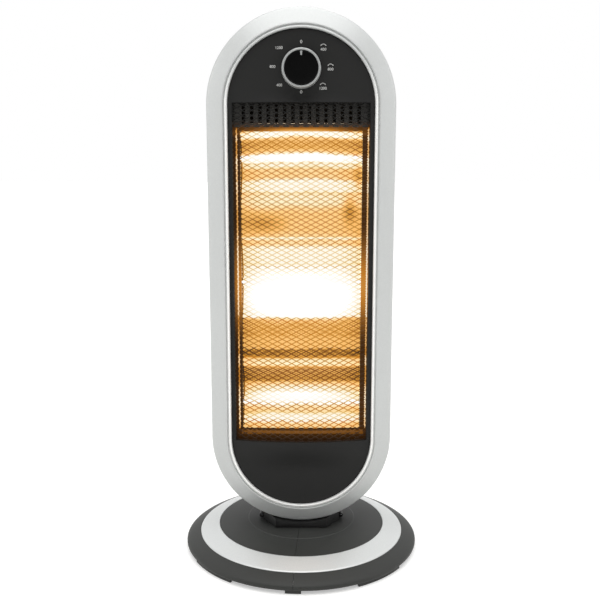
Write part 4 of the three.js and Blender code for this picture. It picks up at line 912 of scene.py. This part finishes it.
guard_look = glowing_guard()
sheet = together(bowed(diamond_lattice(), GUARD_DEPTH), bowed(flat_border(), GUARD_DEPTH))
guard = build("expanded_metal_guard", sheet, guard_look, "head", ["guard_grille"])
solidified(guard, GUARD_THICK)

# ---- Front panel ----
# The panel is satin black ABS, flat at its round ends and bowed forward round the window. The
# figures round the knob are printed on it in white; the place below the window is left bare.

KNOB_Z = 573.4
INK_HALF, INK_PROUD = 0.05, 0.02              # half the print's thickness, and its middle's height
# Figures as (text, x, z, height), in mm from the knob's axis.
PRINT = [("0", 0, 28.6, 3.7), ("1200", -24.6, 22.2, 3.1), ("800", -31.6, 2, 3.1),
         ("400", -24.2, -17.8, 3.1), ("0", 0, -25.2, 3.7), ("400", 24.4, 20.5, 3.1),
         ("800", 32.4, -0.7, 3.1), ("1200", 24, -21.3, 3.1)]
FONT_SIZE = 1.38                              # of the font for figures 1 high
MARK_R, MARK_HALF, DOT_R, MARK_UP = 3.2, 0.25, 0.55, 2.5

# Satin black ABS: smoother than the base, with a faint swirl.
panel_plastic = moulded("satin_abs_panel", "#0d0d0c", "#131312", 0.62, 0.36, 1.6, 0.006)
# White pad-printed ink: matt, slightly raised.
ink = moulded("white_print_ink", "#d9d9d6", "#ececea", 0.6, 0.3, 0.5, 0.002)


def panel_sheet():
    """The panel's face as rows of height z and columns of the share s of its half-width, which is
    sqrt(R^2 - d^2), d mm past the centre of a round end. The window's cells are left out."""
    edge = WINDOW_X / PANEL_R
    s = np.concatenate([np.linspace(-1, -edge, 4), np.linspace(-edge, edge, 41)[1:-1],
                        np.linspace(edge, 1, 4)])
    turn = np.radians(np.linspace(1.0, 88, 40))
    z = np.concatenate([BOTTOM_CENTRE_Z - PANEL_R * np.cos(turn), [WINDOW_LOW],
                        np.linspace(152, 530, 64), [WINDOW_HIGH],
                        TOP_CENTRE_Z - 1 + PANEL_R * np.cos(turn[::-1])])
    z = np.unique(np.round(z, 4))
    past = np.maximum(np.maximum(z - TOP_CENTRE_Z + 1, BOTTOM_CENTRE_Z - z), 0)
    x = np.sqrt(PANEL_R ** 2 - past ** 2)[:, None] * s[None, :]
    z_of = z[:, None] + 0 * x
    points, faces = skin(np.stack([x, panel_face(x, z_of), z_of], axis=-1), closed_rows=False,
                         closed_columns=False)
    cell_z = (z[:-1] + z[1:])[:, None] / 2 + 0 * s[None, :-1]
    cell_s = (s[:-1] + s[1:])[None, :] / 2 + 0 * z[:-1, None]
    solid = (np.abs(cell_s) > edge) | (cell_z < WINDOW_LOW) | (cell_z > WINDOW_HIGH)
    return points, [face for face, keep in zip(faces, solid.ravel()) if keep]


def printed(name, text, x, z, height):
    """Figures as a thin raised print that follows the panel's face."""
    curve = bpy.data.curves.new(name, "FONT")
    curve.body, curve.align_x, curve.align_y = text, "CENTER", "CENTER"
    curve.size, curve.extrude = height * FONT_SIZE, INK_HALF
    letters = bpy.data.objects.new(name, curve)
    bpy.context.scene.collection.objects.link(letters)
    mesh = bpy.data.meshes.new_from_object(
        letters.evaluated_get(bpy.context.evaluated_depsgraph_get()))
    bpy.data.objects.remove(letters)
    points = np.empty(len(mesh.vertices) * 3)
    mesh.vertices.foreach_get("co", points)
    across, up, out = points.reshape(-1, 3).T
    flat = np.column_stack([across + x, up + KNOB_Z + z])
    return bowed((flat, [list(face.vertices) for face in mesh.polygons]), -INK_PROUD - out)


def sweep_mark(x, z):
    """A small arc from 35 to 145 degrees with a dot at each end, over the settings that also swing
    the head, as thin raised prints."""
    ends = np.radians([35, 145])
    a = np.linspace(*ends, 17)
    ray, ring = (np.column_stack([np.cos(angle), np.sin(angle)]) for angle in (a, np.radians(whole(10))))
    outlines = [np.concatenate([(MARK_R - MARK_HALF) * ray, (MARK_R + MARK_HALF) * ray[::-1]])]
    outlines += [MARK_R * ray[end] + DOT_R * ring for end in (0, -1)]
    for outline in outlines:
        points, faces = plate((outline + (x, z + MARK_UP))[:, ::-1], (-INK_HALF, INK_HALF), 1)
        yield bowed((points[:, [0, 2]], faces), points[:, 1] - INK_PROUD)


panel_points, panel_faces = panel_sheet()
panel = build("bowed_front_panel", (panel_points + (0, PANEL_THICK / 2, 0), panel_faces),
              panel_plastic, "head", ["front_panel"], crease=60)
solidified(panel, PANEL_THICK, 0.5)
prints = [printed(f"figures_{k}", *row) for k, row in enumerate(PRINT)]
for _, x, z, _ in PRINT:
    if x > 0:
        prints += sweep_mark(x, KNOB_Z + z)
build("printed_figures", together(*prints), ink, "head", ())

# ---- Knob ----
# The dial is a gloss black cap with a silver lacquered ring pressed round it and a silver pointer
# let into its face. It turns on the brass spindle of the rotary switch.

KNOB_BACK, KNOB_FACE = -42.4, -57.0
KNOB_AXIS = (0, 0, KNOB_Z)

# Polished black ABS: deep black, with a sharp shine from the mirror finish of its mould.
gloss_black = moulded("gloss_black_cap", "#040404", "#070707", 0.2, 0.16, 8.0, 0.002)
cap_line = softened([
    (0, -52.4, 0), (3.2, -52.4, 0.2), (3.2, KNOB_BACK, 0.2), (6.4, KNOB_BACK, 0.2), (6.4, -53, 0.5),
    (16.6, -53, 0.5), (16.6, KNOB_BACK, 0.3), (18.7, KNOB_BACK, 0.3), (18.7, KNOB_FACE, 1.1),
    (9, KNOB_FACE, 0), (0, KNOB_FACE, 0)], steps=8)
cap = build("dial_cap", moved(lathed(cap_line, 96, 1), KNOB_AXIS), gloss_black, "knob",
            ["knob_cap"])
recess = plate([(13, -1.3), (13, 1.3), (18, 1.5), (18, -1.5)], (-60, KNOB_FACE + 0.9), 1)
carved(cap, moved(recess, KNOB_AXIS))
# The silver lacquer of the base ring, in a darker grey.
dial_silver = silver_lacquer("silver_lacquer_dial", "#a9abaa", 0.42)
ring_line = softened([(18.9, KNOB_BACK, 0.2), (22, KNOB_BACK, 0.3), (22, -44, 3), (21.4, -55.9, 0.9),
                      (20.4, -57, 0.7), (18.9, -56.7, 0.3)])
build("dial_ring", moved(lathed(ring_line, 96, 1), KNOB_AXIS), dial_silver, "knob",
      ["knob_trim_ring"])
mark = softened([(13.2, -0.9), (13.2, 0.9), (17.8, 1.2), (17.8, -1.2)], 0.3, 4)
build("dial_pointer", moved(plate(mark, (KNOB_FACE + 0.1, KNOB_FACE + 0.6), 1), KNOB_AXIS),
      dial_silver, "knob", ["knob_pointer"])

# ---- Front bezel ----
# A pill-shaped ABS frame in the same silver lacquer clips over the shell. Its broad face slopes
# back to the outside, and a bead with a painted highlight runs round the panel behind a narrow groove.

HEAD_R = 106.7
BEAD_OUT = 86.2             # radius where the bead's painted highlight ends and the plain lacquer begins
# The frame's section as (distance from the pill's middle line, y, rounding).
BEZEL_SECTION = [
    (HEAD_R, -24, 0.4), (HEAD_R, -32.4, 2.2), (105.2, -35.2, 1.6), (88.2, -43.6, 1.4),
    (87.2, -43.6, 0.4), (87, -41.6, 0.3), (86, -41.6, 0.3), (85.5, -43.4, 0.9), (83.6, -44.5, 1.4),
    (82.5, -43.5, 0.7), (82.2, -40.8, 0.3), (82.8, -40.7, 0.1), (82.8, -34.2, 0.3),
    (85.3, -34.2, 0.3), (85.3, -39.4, 0.3),
    (88.4, -40.9, 0.5), (104.2, -32.6, 1), (104.2, -24, 0.4)]


def bezel_silver():
    """The silver lacquer, with a painted highlight on the bead: within 86.2 mm of the pill's middle line
    the base colour is near white, but not at the top, where it fades out from 520 to 600 mm. That distance
    is
    |(x, o)|, o mm above or below the line's ends."""
    made = silver_lacquer("silver_lacquer_bezel", "#c9cbca", 0.42)
    tree = made.node_tree
    shader = tree.nodes["Principled BSDF"]
    paint = shader.inputs["Base Color"].links[0].from_socket
    x, _, z = fields(places(tree))
    over = (z - TOP_CENTRE_Z).maths("MAXIMUM", 0.0) + (z * -1 + BOTTOM_CENTRE_Z).maths("MAXIMUM", 0.0)
    out = add(tree, "ShaderNodeCombineXYZ", {0: x, 1: over}).outputs[0]
    reach = Field(add(tree, "ShaderNodeVectorMath", {0: out}, operation="LENGTH").outputs["Value"])
    share = between(reach, BEAD_OUT + 0.3, BEAD_OUT - 0.3) * between(z, 600, 520)
    # Painted highlight on the bead: the lacquer mixed towards near white.
    painted_bead_highlight = add(tree, "ShaderNodeMix", {0: share, 6: paint, 7: linear("#fbfbf9")}, data_type="RGBA")
    link_all(shader, Base_Color=painted_bead_highlight.outputs[2])
    return made


build("silver_bezel", skin(pill_ring(softened(BEZEL_SECTION), 72)), bezel_silver(), "head",
      ["front_bezel"])

# ---- Camera, floor and light ----
# The camera stands 1.06 m in front at half a metre's height and looks down by 10 degrees. A pale
# floor and a white room carry the light of a broad lamp overhead and of weaker ones at the sides.

scene = bpy.context.scene
lens = bpy.data.cameras.new("camera")
lens.sensor_width, lens.lens, lens.shift_x = 36.0, 53.85, -0.002
lens.clip_start, lens.clip_end = 0.01, 100.0
camera = bpy.data.objects.new("camera", lens)
camera.location = (0.0, -1.0604, 0.4998)
camera.rotation_euler = (math.radians(79.67), 0.0, 0.0)
scene.collection.objects.link(camera)
scene.camera = camera
scene.view_settings.view_transform = "Standard"

NEAR_LIFT, FAR_LIFT = 0.42, 0.75    # light that the floor gives off, to be white like the room
FLOOR_HALF = 9000.0
ROOM_LIGHT, ROOM_BEHIND = 0.6, 0.22           # on matt pieces, and as gloss shows it behind the camera
# Lamps as (name, place and width in metres, watts); each points at the middle of the head.
LAMPS = (("overhead_softbox", (0.0, -0.5, 2.3), 2.2, 27.0), ("left_softbox", (-1.9, -0.5, 1.0), 1.2, 5.0),
         ("right_softbox", (1.9, -0.5, 1.0), 1.2, 4.0), ("rear_softbox", (0.1, 2.0, 2.2), 1.2, 6.0))
AIM = Vector((0, 0, 0.32))


def rays(tree, *kinds):
    """1 for the given kinds of ray, else 0."""
    path = add(tree, "ShaderNodeLightPath")
    found = 0.0
    for kind in kinds:
        found = Field(path.outputs[f"Is {kind} Ray"]).maths("MAXIMUM", found)
    return found


def floor_paper():
    """Matt pale paper with a faint mottle of 25 mm. To the camera and in reflections it also gives
    off light, more from 0.2 to 1.3 m out, so that it meets the white room without an edge."""
    made, tree, shader, place = start_material("pale_floor_paper", {
        "Roughness": 0.9, "Specular IOR Level": 0.0, "Emission Color": (1, 1, 1, 1)})
    fibre = add(tree, "ShaderNodeTexNoise", {"Vector": place, "Scale": 1 / 25, "Detail": 3.0})
    paper = add(tree, "ShaderNodeMix", {0: fibre.outputs[0], 6: linear("#e6e6e4"),
                                        7: linear("#eaeae8")}, data_type="RGBA")
    away = Field(add(tree, "ShaderNodeVectorMath", {0: place}, operation="LENGTH").outputs["Value"])
    lift = rays(tree, "Camera", "Glossy", "Transmission") * between(away, 200, 1300, NEAR_LIFT, FAR_LIFT)
    link_all(shader, Base_Color=paper.outputs[2], Emission_Strength=lift)
    return made


def white_room():
    """White to the camera and in reflections, but dim behind the camera, which keeps the black
    pieces black, and a soft light from all round on matt pieces."""
    made = bpy.data.worlds.new("white_room")
    made.use_nodes = True
    tree = made.node_tree
    tree.nodes.clear()
    _, y, _ = fields(add(tree, "ShaderNodeTexCoord").outputs["Generated"])
    glossy = rays(tree, "Glossy") * between(y, -0.95, -0.55, ROOM_BEHIND, 1.0)
    plainly = rays(tree, "Camera", "Transmission").maths("MAXIMUM", glossy)
    strength = plainly.maths("MAXIMUM", rays(tree, "Diffuse") * ROOM_LIGHT)
    light = add(tree, "ShaderNodeBackground", {"Color": linear("#ffffff"), "Strength": strength})
    add(tree, "ShaderNodeOutputWorld", {"Surface": light.outputs[0]})
    return made


corners = np.array([[(-1, -1, 0), (1, -1, 0)], [(-1, 1, 0), (1, 1, 0)]]) * FLOOR_HALF
build("floor", skin(corners, closed_rows=False, closed_columns=False), floor_paper())
scene.world = white_room()
for name, at, size, power in LAMPS:
    lamp = bpy.data.lights.new(name, "AREA")
    lamp.shape, lamp.size, lamp.energy = "SQUARE", size, power
    stand = bpy.data.objects.new(name, lamp)
    stand.location = at
    stand.rotation_euler = (AIM - stand.location).to_track_quat("-Z", "Y").to_euler()
    scene.collection.objects.link(stand)
